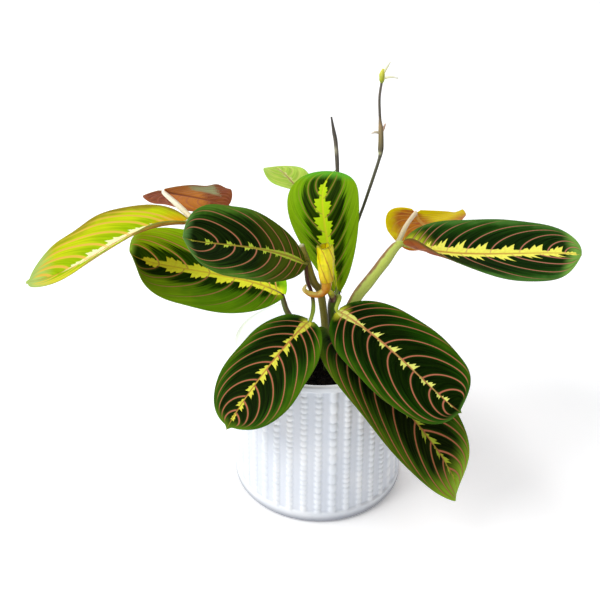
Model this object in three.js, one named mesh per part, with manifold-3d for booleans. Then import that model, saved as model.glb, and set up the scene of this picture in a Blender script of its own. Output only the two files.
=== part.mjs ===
// A prayer plant with eleven patterned leaves in a white ribbed cover pot.
// Millimetres, +Z up. The origin is the centre of the pot's flat base, and the plant's front is -Y.
import * as THREE from 'three';
import { mergeVertices } from 'three/addons/utils/BufferGeometryUtils.js';
import Module from 'manifold-3d';

const wasm = await Module();
wasm.setup();

// Pot sizes
const POT_HEIGHT = 118;
const POT_FOOT_RADIUS = 65;
const POT_RIM_RADIUS = 61.5;
const POT_INNER_RADIUS = 57.6;
const POT_FLOOR = 6;
const FOOT_ROUND = 4;
const RIM_ROUND = 1.2;
const ROUND_STEPS = 2;

// Raised ribs, each a row of beads from a smooth foot band up to a smooth rim band
const RIB_COUNT = 36;
const BEADS_PER_RIB = 17;
const RIB_START = 8.5;
const RIB_END = 114.5;
const RIB_RELIEF = 1.3;
const BEAD_DIP = 0.75;
const VALLEY_STEPS = 4;
const BEAD_PITCH = (RIB_END - RIB_START) / BEADS_PER_RIB;

// Soil
const SOIL_LEVEL = 96;
const SOIL_GAP = 0.3;
const SOIL_RINGS = [0.38, 0.56, 0.72, 0.87, 1];
const SOIL_SPOKES = 28;
const SOIL_FALL = 7;
const SOIL_BUMP = 1.2;
const SOIL_LUMP_LENGTH = 3.4;
const SOIL_FLAT_RADIUS = 21;
const HOLE_BOTTOM = 89;
const STEM_FOOT = 89.4;
const HOLE_CLEARANCE = 0.9;
const HOLE_SIDES = 12;

// Leaf blades
const BLADE_THICKNESS = 0.8;
const BLADE_STATIONS = 14;
const BLADE_COLUMNS = 6;
const ROUND_PART = 0.97;
const ROUND_POWER = 2.35;
const FULL_POWER = 0.56;
const TIP_REACH = 0.16;
const TIP_POWER = 1.25;
const TIP_BLEND = 0.02;
const TIP_CLOSE_POWER = 6;
const TIP_HALF_WIDTH = 0.35;
const FOLD_POWER = 0.8;
const BASE_CURL_POWER = 2;
const WAVE_POWER = 3;
const NOTCH_POWER = 5;

// Stems: sides round a stem, and the length of one step along it
const STEM_SIDES = 8;
const STEM_STEP = 9;

// Small limits: how close points merge, the step for a normal, and the curl of a flat blade in radians
const MERGE_DISTANCE = 1e-4;
const NORMAL_STEP = 1e-3;
const FLAT_CURL = 1e-6;

// Each leaf: the midrib's four control points from base to tip, the way the upper face looks at the
// base and at the tip, the half width, the fold of the left and right half in degrees from base to
// tip (positive rises), the curl across a half, its extra at the base (left, right), where it is
// widest, the size of the pointed tip, how far the base lobes reach back, and the margin's waves.
const LEAVES = {
  front_left: {
    midrib: [[-8, -26, 147.5], [-15.5, -31, 145], [-51.5, -56, 110], [-62.5, -72, 92]],
    faces: [[-0.5, -0.2, 0.85], [-0.45, -0.6, 0.65]],
    halfWidth: 34, foldLeft: [8, -3], foldRight: [0, 3], curl: -6, curlBase: [0, 0],
    widest: 0.5, tip: 0.1, notch: 2, wave: 0.5, waves: 3,
  },
  left: {
    midrib: [[-27.5, 6, 152], [-55, 22.5, 162], [-135, 15.5, 164], [-130, 2, 189]],
    faces: [[-0.15, -0.65, 0.75], [-0.05, -0.5, 0.9]],
    halfWidth: 32.5, foldLeft: [0, 25], foldRight: [7, -5], curl: 0, curlBase: [-10, 0],
    widest: 0.54, tip: 0.13, notch: 3.5, wave: 0.7, waves: 3,
  },
  middle_left: {
    midrib: [[-10.5, -10, 183.5], [-37, -26, 207.5], [-78.5, -31, 206], [-88, -36, 215]],
    faces: [[-0.1, -0.55, 0.85], [-0.45, -0.35, 0.8]],
    halfWidth: 30.5, foldLeft: [3, 14], foldRight: [6, 9], curl: 3, curlBase: [-10, -8],
    widest: 0.56, tip: 0.05, notch: 1, wave: 0.5, waves: 3,
  },
  upright: {
    midrib: [[12.5, 12, 151.5], [1, 17.5, 211.5], [-4.5, 27, 225], [11.5, 48, 229]],
    faces: [[-0.15, -0.95, 0.25], [-0.1, -0.35, 0.95]],
    halfWidth: 27, foldLeft: [-21, -12], foldRight: [14, 19], curl: 0, curlBase: [-13, 2],
    widest: 0.56, tip: 0.14, notch: 2.5, wave: 0.6, waves: 2.5,
  },
  front_right: {
    midrib: [[12, -15, 149.5], [43.5, -37, 142.5], [73.5, -78.5, 122], [87.5, -86, 116.5]],
    faces: [[0.35, -0.4, 0.85], [0.5, -0.7, 0.5]],
    halfWidth: 34, foldLeft: [7, 12], foldRight: [1, -1], curl: 0, curlBase: [-5, -8],
    widest: 0.46, tip: 0.07, notch: 0.5, wave: 0.5, waves: 3,
  },
  low_right: {
    midrib: [[11, -22, 130.5], [20, -53, 140.5], [106, -81, 64], [90.5, -82, 40.5]],
    faces: [[0.55, -0.6, 0.6], [0.55, -0.35, -0.75]],
    halfWidth: 31.5, foldLeft: [12, -2], foldRight: [15, 11], curl: 0, curlBase: [0, 0],
    widest: 0.42, tip: 0.15, notch: 3, wave: 0.8, waves: 3,
  },
  right: {
    midrib: [[59, 16, 186.5], [93, 4, 176.5], [156, -9, 196], [173, -18, 193]],
    faces: [[0.15, -0.5, 0.85], [0.2, -0.4, 0.9]],
    halfWidth: 31, foldLeft: [7, -2], foldRight: [42, -10], curl: -2, curlBase: [0, 76],
    widest: 0.46, tip: 0.15, notch: 1, wave: 0.5, waves: 3,
  },
  back_right: {
    midrib: [[70.5, 46, 195.5], [73.5, 50.5, 182.5], [94.5, 85, 167], [101, 98, 146.5]],
    faces: [[0.15, 0.65, 0.75], [-0.25, 0.9, 0.35]],
    halfWidth: 30, foldLeft: [14, -14], foldRight: [8, 7], curl: 0, curlBase: [5, 0],
    widest: 0.49, tip: 0.15, notch: 7, wave: 1.2, waves: 2.5,
  },
  far_left: {
    midrib: [[-95, 22, 200], [-137.5, 13.5, 204.5], [-157.5, -8.5, 174.5], [-204, -8, 171]],
    faces: [[-0.3, -0.25, 0.95], [-0.3, -0.4, 0.85]],
    halfWidth: 28.5, foldLeft: [30, 21], foldRight: [11, 8], curl: 14, curlBase: [6, 0],
    widest: 0.54, tip: 0.15, notch: 3.5, wave: 1, waves: 2.5,
  },
  back_left: {
    midrib: [[-112, 46, 214.5], [-106, 52.5, 210], [-90.5, 84, 195], [-68.5, 92, 184]],
    faces: [[-0.05, 0.55, 0.8], [0.05, 0.85, 0.5]],
    halfWidth: 29.5, foldLeft: [2, 0], foldRight: [0, 0], curl: 0, curlBase: [0, 0],
    widest: 0.43, tip: 0.1, notch: 5.5, wave: 1, waves: 2.5,
  },
  back_small: {
    midrib: [[-9.5, 57, 209], [-21.5, 66, 210], [-26, 84, 222], [-39.5, 91, 216]],
    faces: [[-0.35, 0.55, 0.75], [-0.25, 0.45, 0.85]],
    halfWidth: 17, foldLeft: [8, -3], foldRight: [7, 2], curl: 3, curlBase: [0, 0],
    widest: 0.5, tip: 0.15, notch: 3, wave: 0.4, waves: 2,
  },
};

// Each stem: the tubes that grow as one, each a list of x, y, z and radius from the root outwards
const STEMS = {
  stem_left: [
    [[5, -1, STEM_FOOT, 2.4], [5, -1, 106, 2.6], [4, -2, 129, 2.7], [0.5, -2, 156, 2.6],
      [-4.5, -1, 165, 2.6], [-9, 1.5, 178.5, 2.6], [-13, 5, 190, 2.1]],
    [[-9, 1.5, 178, 1.4], [-10, -1, 177.5, 1.4], [-9, -4.5, 168, 1.4], [-6.5, -6, 161, 1.4],
      [-5, -10, 155.5, 1.4], [-5, -17, 151.5, 1.5], [-6.7, -24.4, 148.5, 1.4]],
    [[-9, 1.5, 178.5, 1.7], [-9.9, -8.1, 182.4, 1.3]],
    [[-9, 1.5, 179.5, 1.8], [-21, 8, 181, 1.8], [-45.5, 14, 188, 1.8], [-70, 20, 193.5, 1.9],
      [-87, 24, 197, 2], [-93.6, 22.4, 199.6, 1.7]],
    [[-85, 23.6, 196.6, 2], [-94, 32, 202, 2], [-103, 38.5, 208, 2], [-111.3, 44.5, 213.1, 1.6]],
  ],
  stem_right: [
    [[14, 2.5, STEM_FOOT, 3.6], [14, 2.5, 107, 3.8], [16, 4, 123, 4.1], [26, 8, 146.5, 4.3],
      [35.5, 11, 159.5, 4.3], [45.5, 14, 173, 4.2], [53, 15.8, 183.6, 3.4], [58, 16.1, 186.4, 1.9]],
    [[53, 15.8, 183, 2.2], [57, 22, 188, 2.2], [62, 31, 192.5, 2.1], [69.8, 44.9, 195, 1.6]],
  ],
  stem_middle: [
    [[9.5, -5.5, STEM_FOOT, 2.2], [9.5, -5.5, 106, 2.3], [10, -2.5, 122, 2.4], [8.5, 4, 136.5, 2.6],
      [9.5, 8, 145.5, 3.1], [12.2, 11.4, 149.6, 1.6]],
    [[10, 7, 146.5, 2], [13.5, -2, 154, 1.5], [13, -8.5, 154.3, 1.5], [11, -14.1, 150.9, 1.2]],
    [[9.5, 8, 145.5, 2.4], [9, 1, 152, 2.7], [7.4, -5, 158, 2.2], [5.7, -8, 161.6, 1.4]],
  ],
  stem_left_leaf: [
    [[-2.5, -2.5, STEM_FOOT, 1.9], [-2.5, -2.5, 106, 2], [-8, -2, 119.5, 2.1], [-17, 0, 130.5, 2.1],
      [-23.5, 3.5, 139, 2.2], [-27, 7.2, 150.2, 1.7]],
  ],
  stem_low_leaf: [
    [[5, -9, STEM_FOOT, 1.7], [5, -9, 106, 1.8], [7.5, -13, 118, 1.9], [10.6, -20.8, 129, 1.8]],
  ],
  stem_back_leaf: [
    [[-2, 6.5, STEM_FOOT, 1.2], [-2, 6.5, 105, 1.3], [3, 10, 119, 1.3], [1.5, 18, 140, 1.3],
      [2, 28, 159.5, 1.2], [-1, 43, 185, 1.2], [-8.8, 56.2, 208.3, 1.2]],
  ],
  spike_stalk: [
    [[5, 6, STEM_FOOT, 1.5], [5, 6, 106, 1.5], [6.5, 13, 120, 1.5], [9.5, 23, 137.5, 1.5],
      [12, 42, 177.5, 1.4], [13, 51, 205, 1.4], [13, 57, 227, 1.4], [11.5, 58, 245.5, 1.5],
      [10, 58.5, 253.5, 1.3], [8, 59, 264, 0.6]],
  ],
  flower_stalk: [
    [[11, 10, STEM_FOOT, 1.3], [11, 10, 105, 1.3], [12.5, 16, 124, 1.2], [15, 23, 145.5, 1.2],
      [23.5, 33, 181.5, 1.1], [33, 38.5, 211, 1.1], [41, 42, 238, 1.1], [42, 42.5, 246.5, 1.9],
      [41.5, 43, 259, 1.8], [40.5, 43, 267, 1.1], [39.5, 43.8, 281, 1], [40.5, 44, 290, 1.1]],
    [[40.5, 44, 288, 0.9], [40.6, 44, 292, 2.3], [40.2, 44, 296.5, 2.2], [41.5, 44, 300.5, 1]],
    [[41.2, 44, 297, 0.7], [43.5, 43, 302, 0.8], [45, 42, 305, 0.5]],
    [[40.8, 44, 294, 0.7], [46, 42, 295.5, 0.8], [51, 41, 295, 0.5]],
    [[41.6, 42.8, 257, 0.7], [38, 41.5, 258.5, 0.9], [35, 40.5, 258, 0.5]],
    [[41.6, 43, 257, 0.8], [43, 42.7, 260, 0.9], [44.2, 42.4, 264, 0.5]],
  ],
};

// The young leaf, rolled up, and its hooked end
const ROLL_PATH = [
  [2, -10, 197, 5.6], [2.6, -10.5, 190, 6.2], [3, -10.5, 181, 6.1], [3.8, -10.5, 171, 5],
];
const ROLL_TURNS = 1.15;
const ROLL_TIGHTEN = 0.34;
const ROLL_WALL = 0.8;
const ROLL_POINTS = 13;
const ROLL_RINGS = 7;
const HOOK_PATH = [
  [3.4, -10.5, 178, 3.4], [4.2, -10.5, 169, 3.6], [3.2, -10.5, 163.5, 2.8], [-1, -10.8, 160.4, 2.2],
  [-6.5, -11, 160.8, 1.9], [-11, -11, 164, 1.5], [-10, -10.6, 167.5, 0.8],
];

// Colours of the pieces
const COLOURS = {
  pot: 0xf2f3f5,
  soil: 0x15110d,
  leaf_dark: 0x1d3a14,
  leaf_bright: 0x4c7a1c,
  leaf_lime: 0xa8b424,
  leaf_red: 0x8a3a1c,
  leaf_orange: 0xc87a1e,
  leaf_pale: 0x9fbf62,
  stem_olive: 0x5d6426,
  stem_green: 0x9db85a,
  stalk: 0x5b5548,
  curl: 0xe6dc1e,
};
const LEAF_COLOURS = {
  front_left: 'leaf_dark',
  left: 'leaf_bright',
  middle_left: 'leaf_dark',
  upright: 'leaf_bright',
  front_right: 'leaf_dark',
  low_right: 'leaf_dark',
  right: 'leaf_dark',
  back_right: 'leaf_orange',
  far_left: 'leaf_lime',
  back_left: 'leaf_red',
  back_small: 'leaf_pale',
};
const STEM_COLOURS = {
  stem_left: 'stem_olive',
  stem_right: 'stem_green',
  stem_middle: 'stem_green',
  stem_left_leaf: 'stem_olive',
  stem_low_leaf: 'stem_green',
  stem_back_leaf: 'stem_green',
  spike_stalk: 'stalk',
  flower_stalk: 'stalk',
};

const vector = (p) => new THREE.Vector3(p[0], p[1], p[2]);
const radians = THREE.MathUtils.degToRad;
const mix = THREE.MathUtils.lerp;

// A closed geometry from points and triangles, turned so that its faces point out
function closedGeometry(points, triangles) {
  let volume = 0;
  for (const [a, b, c] of triangles) {
    volume += points[a].dot(points[b].clone().cross(points[c]));
  }
  const places = points.flatMap((point) => point.toArray());
  const geometry = new THREE.BufferGeometry();
  geometry.setAttribute('position', new THREE.Float32BufferAttribute(places, 3));
  geometry.setIndex(triangles.flatMap(([a, b, c]) => (volume < 0 ? [a, c, b] : [a, b, c])));
  return geometry;
}

// A manifold-3d solid from a geometry, and a geometry back from a solid
function solidFrom(geometry) {
  const bare = geometry.clone();
  bare.deleteAttribute('normal');
  bare.deleteAttribute('uv');
  const merged = mergeVertices(bare, MERGE_DISTANCE);
  return new wasm.Manifold(new wasm.Mesh({
    numProp: 3,
    vertProperties: new Float32Array(merged.attributes.position.array),
    triVerts: new Uint32Array(merged.index.array),
  }));
}

function geometryFrom(solid) {
  const mesh = solid.getMesh();
  const geometry = new THREE.BufferGeometry();
  geometry.setAttribute('position', new THREE.Float32BufferAttribute(mesh.vertProperties, 3));
  geometry.setIndex(Array.from(mesh.triVerts));
  return geometry;
}

// Half width along a blade, as a share of its widest: round at the base, with a small pointed tip
function bladeProfile(u, leaf) {
  const along = Math.min(u / ROUND_PART, 1) ** (Math.log(0.5) / Math.log(leaf.widest));
  const body = Math.max(1 - Math.abs(2 * along - 1) ** ROUND_POWER, 0) ** FULL_POWER;
  const point = leaf.tip * Math.min((1 - u) / TIP_REACH, 1) ** TIP_POWER;
  const blend = Math.sqrt((body - point) ** 2 + TIP_BLEND ** 2);
  return 0.5 * (body + point + blend) - 0.5 * TIP_BLEND * u ** TIP_CLOSE_POWER;
}

// A point on the middle of a blade: u runs from base to tip, v from the left margin to the right
function bladePoint(leaf, u, v) {
  const midrib = new THREE.CubicBezierCurve3(...leaf.midrib.map(vector));
  const along = midrib.getTangent(u);
  const [baseFace, tipFace] = leaf.faces.map((face) => vector(face).normalize());
  const up = baseFace.lerp(tipFace, u).normalize();
  up.addScaledVector(along, -up.dot(along)).normalize();
  const right = along.clone().cross(up);
  const side = Math.sign(v);
  const out = Math.abs(v);
  const fold = side < 0 ? leaf.foldLeft : leaf.foldRight;
  const angle = radians(mix(fold[0], fold[1], u ** FOLD_POWER));
  const baseCurl = side < 0 ? leaf.curlBase[0] : leaf.curlBase[1];
  const curl = radians(leaf.curl + baseCurl * (1 - u) ** BASE_CURL_POWER) + FLAT_CURL;
  const width = Math.max(leaf.halfWidth * bladeProfile(u, leaf), TIP_HALF_WIDTH);
  const sideways = width * (Math.sin(angle + curl * out) - Math.sin(angle)) / curl;
  const swell = Math.sin(2 * Math.PI * leaf.waves * u + side) * Math.sin(Math.PI * u);
  const wave = leaf.wave * out ** WAVE_POWER * swell;
  const rise = width * (Math.cos(angle) - Math.cos(angle + curl * out)) / curl + wave;
  return midrib.getPoint(u)
    .addScaledVector(right, side * sideways)
    .addScaledVector(up, rise)
    .addScaledVector(along, -leaf.notch * (1 - u) ** NOTCH_POWER * out * out);
}

// The blade's normal, from points close by
function bladeNormal(leaf, u, v) {
  const toRight = bladePoint(leaf, u, Math.min(v + NORMAL_STEP, 1));
  const toLeft = bladePoint(leaf, u, Math.max(v - NORMAL_STEP, -1));
  const ahead = bladePoint(leaf, Math.min(u + NORMAL_STEP, 1), v);
  const behind = bladePoint(leaf, Math.max(u - NORMAL_STEP, 0), v);
  return toRight.sub(toLeft).cross(ahead.sub(behind)).normalize();
}

// A thin blade: the same grid of triangles on both faces and a wall round the margin
function bladeGeometry(leaf) {
  const points = [];
  const triangles = [];
  const rows = BLADE_STATIONS + 1;
  const columns = BLADE_COLUMNS + 1;
  for (const face of [1, -1]) {
    for (let i = 0; i < rows; i += 1) {
      const u = 0.5 - 0.5 * Math.cos((Math.PI * i) / BLADE_STATIONS);
      for (let j = 0; j < columns; j += 1) {
        const v = (2 * j) / BLADE_COLUMNS - 1;
        const point = bladePoint(leaf, u, v);
        points.push(point.addScaledVector(bladeNormal(leaf, u, v), (face * BLADE_THICKNESS) / 2));
      }
    }
  }
  const upper = (i, j) => i * columns + j;
  const lower = (i, j) => rows * columns + upper(i, j);
  for (let i = 0; i < BLADE_STATIONS; i += 1) {
    for (let j = 0; j < BLADE_COLUMNS; j += 1) {
      triangles.push([upper(i, j), upper(i, j + 1), upper(i + 1, j + 1)]);
      triangles.push([upper(i, j), upper(i + 1, j + 1), upper(i + 1, j)]);
      triangles.push([lower(i, j), lower(i + 1, j + 1), lower(i, j + 1)]);
      triangles.push([lower(i, j), lower(i + 1, j), lower(i + 1, j + 1)]);
    }
  }
  const margin = [];
  for (let j = 0; j < columns; j += 1) margin.push([0, j]);
  for (let i = 1; i < rows; i += 1) margin.push([i, BLADE_COLUMNS]);
  for (let j = BLADE_COLUMNS - 1; j >= 0; j -= 1) margin.push([BLADE_STATIONS, j]);
  for (let i = BLADE_STATIONS - 1; i > 0; i -= 1) margin.push([i, 0]);
  margin.forEach(([i, j], k) => {
    const [m, n] = margin[(k + 1) % margin.length];
    triangles.push([upper(i, j), lower(i, j), lower(m, n)]);
    triangles.push([upper(i, j), lower(m, n), upper(m, n)]);
  });
  return closedGeometry(points, triangles);
}

const smoothCurve = (path) => new THREE.CatmullRomCurve3(path.map(vector), false, 'catmullrom', 0.5);

// The radius at a share of a path, whose points hold x, y, z and radius
function radiusAlong(path, share) {
  const place = share * (path.length - 1);
  const k = Math.min(Math.floor(place), path.length - 2);
  return mix(path[k][3], path[k + 1][3], place - k);
}

// A solid along a path: rings of section points that turn as little as they can, closed by two caps
function sweptGeometry(path, rings, section, cap) {
  const curve = smoothCurve(path);
  const count = section(path[0][3]).length;
  const points = [];
  const triangles = [];
  const across = new THREE.Vector3(1, 0, 0);
  for (let i = 0; i <= rings; i += 1) {
    const share = i / rings;
    const along = curve.getTangent(share);
    across.addScaledVector(along, -across.dot(along)).normalize();
    const other = along.clone().cross(across);
    for (const [x, y] of section(radiusAlong(path, share))) {
      points.push(curve.getPoint(share).addScaledVector(across, x).addScaledVector(other, y));
    }
  }
  for (let i = 0; i < rings; i += 1) {
    for (let j = 0; j < count; j += 1) {
      const next = (j + 1) % count;
      triangles.push([i * count + j, i * count + next, (i + 1) * count + next]);
      triangles.push([i * count + j, (i + 1) * count + next, (i + 1) * count + j]);
    }
  }
  for (const [a, b, c] of cap(count)) {
    triangles.push([a, c, b]);
    triangles.push([rings * count + a, rings * count + b, rings * count + c]);
  }
  return closedGeometry(points, triangles);
}

// A round stem that tapers from point to point
function stemTube(path) {
  const rings = Math.max(path.length - 1, Math.ceil(smoothCurve(path).getLength() / STEM_STEP));
  const section = (radius) => Array.from({ length: STEM_SIDES }, (_, j) => {
    const turn = (2 * Math.PI * j) / STEM_SIDES;
    return [radius * Math.cos(turn), radius * Math.sin(turn)];
  });
  const cap = (count) => Array.from({ length: count - 2 }, (_, j) => [0, j + 1, j + 2]);
  return sweptGeometry(path, rings, section, cap);
}

function stemGeometry(tubes) {
  const [trunk, ...branches] = tubes.map((path) => solidFrom(stemTube(path)));
  return geometryFrom(branches.reduce((joined, branch) => joined.add(branch), trunk));
}

// The rolled young leaf: a spiral sheet, joined to the hook that it hangs from
function curledLeafGeometry() {
  const turn = 2 * Math.PI * ROLL_TURNS;
  const section = (radius) => {
    const outer = [];
    const inner = [];
    for (let j = 0; j < ROLL_POINTS; j += 1) {
      const share = j / (ROLL_POINTS - 1);
      const angle = turn * share;
      const reach = radius * (1 - ROLL_TIGHTEN * share);
      outer.push([reach * Math.cos(angle), reach * Math.sin(angle)]);
      inner.unshift([(reach - ROLL_WALL) * Math.cos(angle), (reach - ROLL_WALL) * Math.sin(angle)]);
    }
    return outer.concat(inner);
  };
  const cap = (count) => {
    const pieces = [];
    for (let j = 0; j < ROLL_POINTS - 1; j += 1) {
      pieces.push([j, j + 1, count - 2 - j]);
      pieces.push([j, count - 2 - j, count - 1 - j]);
    }
    return pieces;
  };
  const roll = solidFrom(sweptGeometry(ROLL_PATH, ROLL_RINGS, section, cap));
  return geometryFrom(roll.add(solidFrom(stemTube(HOOK_PATH))));
}

// Outer radius of the pot's wall at a height
const potRadius = (z) => mix(POT_FOOT_RADIUS, POT_RIM_RADIUS, z / POT_HEIGHT);

// A quarter circle in the pot's upright plane, as points of radius and height
function quarterRound(centreRadius, centreHeight, round, startDegrees) {
  return Array.from({ length: ROUND_STEPS + 1 }, (_, k) => {
    const angle = radians(startDegrees + (90 * k) / ROUND_STEPS);
    return [centreRadius + round * Math.cos(angle), centreHeight + round * Math.sin(angle)];
  });
}

// The outer wall along a rib's crest, bead by bead, and along the smooth valley beside it
function crestWall() {
  return Array.from({ length: 2 * BEADS_PER_RIB - 1 }, (_, k) => {
    const z = RIB_START + (BEAD_PITCH * (k + 1)) / 2;
    return [potRadius(z) - BEAD_DIP * (k % 2), z];
  });
}

function valleyWall() {
  const low = RIB_START + BEAD_PITCH / 2;
  const high = RIB_END - BEAD_PITCH / 2;
  return Array.from({ length: VALLEY_STEPS + 1 }, (_, k) => {
    const z = mix(low, high, k / VALLEY_STEPS);
    return [potRadius(z) - RIB_RELIEF, z];
  });
}

// The pot's profile from the foot, over the rim and down inside, as points of radius, height and the
// place along the profile, which is the same for points that face each other in two columns
function potColumn(wall) {
  const outside = [
    ...quarterRound(POT_FOOT_RADIUS - FOOT_ROUND, FOOT_ROUND, FOOT_ROUND, -90),
    [potRadius(RIB_START), RIB_START],
    ...wall,
    [potRadius(RIB_END), RIB_END],
    ...quarterRound(POT_RIM_RADIUS - RIM_ROUND, POT_HEIGHT - RIM_ROUND, RIM_ROUND, 0),
  ];
  const inside = [
    ...quarterRound(POT_INNER_RADIUS + RIM_ROUND, POT_HEIGHT - RIM_ROUND, RIM_ROUND, 90),
    [POT_INNER_RADIUS, POT_FLOOR],
  ];
  const insideStart = 2 * POT_HEIGHT + RIM_ROUND;
  return [
    ...outside.map(([radius, z]) => [radius, z, z]),
    ...inside.map(([radius, z]) => [radius, z, insideStart - z]),
  ];
}

// The triangles between two columns, whose points are given as their place and their number
function zipColumns(left, right) {
  const triangles = [];
  let i = 0;
  let j = 0;
  while (i < left.length - 1 || j < right.length - 1) {
    const nextLeft = i < left.length - 1 ? left[i + 1].place : Infinity;
    const nextRight = j < right.length - 1 ? right[j + 1].place : Infinity;
    if (nextLeft <= nextRight) {
      triangles.push([left[i].index, right[j].index, left[i + 1].index]);
      i += 1;
    } else {
      triangles.push([left[i].index, right[j].index, right[j + 1].index]);
      j += 1;
    }
  }
  return triangles;
}

function potGeometry() {
  const points = [new THREE.Vector3(0, 0, 0), new THREE.Vector3(0, 0, POT_FLOOR)];
  const walls = [crestWall(), valleyWall()];
  const columnCount = 2 * RIB_COUNT;
  const columns = Array.from({ length: columnCount }, (_, c) => {
    const turn = (2 * Math.PI * c) / columnCount;
    return potColumn(walls[c % 2]).map(([radius, z, place]) => {
      points.push(new THREE.Vector3(radius * Math.cos(turn), radius * Math.sin(turn), z));
      return { place, index: points.length - 1 };
    });
  });
  const triangles = [];
  columns.forEach((left, c) => {
    const right = columns[(c + 1) % columnCount];
    triangles.push([0, right[0].index, left[0].index]);
    triangles.push(...zipColumns(left, right));
    triangles.push([1, left.at(-1).index, right.at(-1).index]);
  });
  return closedGeometry(points, triangles);
}

// Height of the soil outside its middle, where the stems stand: lower and lumpy further out
function soilHeight(x, y) {
  const out = Math.max(Math.hypot(x, y) - SOIL_FLAT_RADIUS, 0);
  const fall = (SOIL_FALL * out) / (POT_INNER_RADIUS - SOIL_FLAT_RADIUS);
  return SOIL_LEVEL - fall + SOIL_BUMP * Math.sin(x / SOIL_LUMP_LENGTH) * Math.cos(y / SOIL_LUMP_LENGTH);
}

// The plain hole that a stem stands in, from its bottom to well above the soil
function stemHole(x, y, stemRadius) {
  const reach = (stemRadius + HOLE_CLEARANCE) / Math.cos(Math.PI / HOLE_SIDES);
  const depth = 2 * (SOIL_LEVEL - HOLE_BOTTOM);
  const hole = new THREE.CylinderGeometry(reach, reach, depth, HOLE_SIDES);
  hole.rotateX(Math.PI / 2);
  hole.translate(x, y, HOLE_BOTTOM + depth / 2);
  return solidFrom(hole);
}

// Soil that fills the pot below its rim, with a hole for each stem
function soilGeometry() {
  const radius = POT_INNER_RADIUS * Math.cos(Math.PI / (2 * RIB_COUNT)) - SOIL_GAP;
  const bottom = POT_FLOOR + SOIL_GAP;
  const points = [new THREE.Vector3(0, 0, SOIL_LEVEL), new THREE.Vector3(0, 0, bottom)];
  const triangles = [];
  const addRing = (reach, height) => {
    for (let k = 0; k < SOIL_SPOKES; k += 1) {
      const turn = (2 * Math.PI * k) / SOIL_SPOKES;
      const x = reach * Math.cos(turn);
      const y = reach * Math.sin(turn);
      points.push(new THREE.Vector3(x, y, height(x, y)));
    }
  };
  SOIL_RINGS.forEach((share) => addRing(share * radius, soilHeight));
  addRing(radius, () => bottom);
  for (let k = 0; k < SOIL_SPOKES; k += 1) {
    const next = (k + 1) % SOIL_SPOKES;
    triangles.push([0, 2 + k, 2 + next]);
    for (let ring = 0; ring < SOIL_RINGS.length; ring += 1) {
      const inner = 2 + ring * SOIL_SPOKES;
      const outer = inner + SOIL_SPOKES;
      triangles.push([inner + k, outer + k, outer + next]);
      triangles.push([inner + k, outer + next, inner + next]);
    }
    const foot = 2 + SOIL_RINGS.length * SOIL_SPOKES;
    triangles.push([1, foot + next, foot + k]);
  }
  let soil = solidFrom(closedGeometry(points, triangles));
  for (const tubes of Object.values(STEMS)) {
    const [x, y, , stemRadius] = tubes[0][1];
    soil = soil.subtract(stemHole(x, y, stemRadius));
  }
  return geometryFrom(soil);
}

// Materials: smooth leaves with a slight sheen, a satin white pot and dull soil
function material(colour, roughness) {
  return new THREE.MeshStandardMaterial({ color: COLOURS[colour], roughness, metalness: 0 });
}

const plant = new THREE.Group();
plant.name = 'potted_prayer_plant';

function addPiece(name, geometry, pieceMaterial) {
  const mesh = new THREE.Mesh(geometry, pieceMaterial);
  mesh.name = name;
  plant.add(mesh);
}

addPiece('pot', potGeometry(), material('pot', 0.45));
addPiece('soil', soilGeometry(), material('soil', 0.95));
for (const [name, leaf] of Object.entries(LEAVES)) {
  addPiece(`leaf_${name}`, bladeGeometry(leaf), material(LEAF_COLOURS[name], 0.4));
}
for (const [name, tubes] of Object.entries(STEMS)) {
  addPiece(name, stemGeometry(tubes), material(STEM_COLOURS[name], 0.5));
}
addPiece('leaf_curled', curledLeafGeometry(), material('curl', 0.45));

export default plant;
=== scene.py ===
# A prayer plant with eleven patterned leaves in a white ribbed cover pot.
# Lengths are millimetres until a mesh is made, and then metres. The plant's front is -Y.
import math

import bpy
import numpy as np
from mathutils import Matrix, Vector


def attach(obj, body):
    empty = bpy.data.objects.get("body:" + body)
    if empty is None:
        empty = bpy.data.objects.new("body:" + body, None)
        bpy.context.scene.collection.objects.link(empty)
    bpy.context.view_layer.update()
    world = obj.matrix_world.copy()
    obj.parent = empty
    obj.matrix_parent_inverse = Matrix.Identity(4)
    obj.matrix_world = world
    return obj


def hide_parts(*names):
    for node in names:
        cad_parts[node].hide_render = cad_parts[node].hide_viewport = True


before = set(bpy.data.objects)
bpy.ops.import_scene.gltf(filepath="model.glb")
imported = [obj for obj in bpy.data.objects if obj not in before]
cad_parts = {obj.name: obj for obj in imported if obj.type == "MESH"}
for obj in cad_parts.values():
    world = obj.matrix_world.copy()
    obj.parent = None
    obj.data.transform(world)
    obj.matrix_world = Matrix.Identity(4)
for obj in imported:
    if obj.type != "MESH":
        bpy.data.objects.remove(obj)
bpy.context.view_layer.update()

MM = 0.001

# Camera: its lens, how far it stands from the point it looks at, and how far it looks down
CAMERA_LENS = 45
CAMERA_SENSOR = 36
CAMERA_TARGET = (-14, 0, 150)
CAMERA_DISTANCE = 530
CAMERA_ELEVATION = 29

# Studio, in metres: each light's name, place, size, power and colour, and the floor that rises at the back
LIGHTS = (
    ("key", (-1.3, -0.5, 1.45), 1.2, 30, (1, 1, 1)),
    ("fill", (1.2, -1.2, 0.9), 1.2, 0.8, (1, 0.88, 0.88)),
    ("top", (0.1, 0.4, 1.7), 1, 4, (1, 1, 1)),
)
LIGHT_TARGET = (0, 0, 0.15)
WORLD_COLOUR = (0.95, 0.97, 1, 1)
WORLD_STRENGTH = 0.44
FLOOR_NEAR = -1.6
FLOOR_FAR = 1.5
FLOOR_HALF_WIDTH = 2.2
FLOOR_TOP = 1.8
FLOOR_BEND = 0.5
FLOOR_GLOW = 0.18

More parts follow.
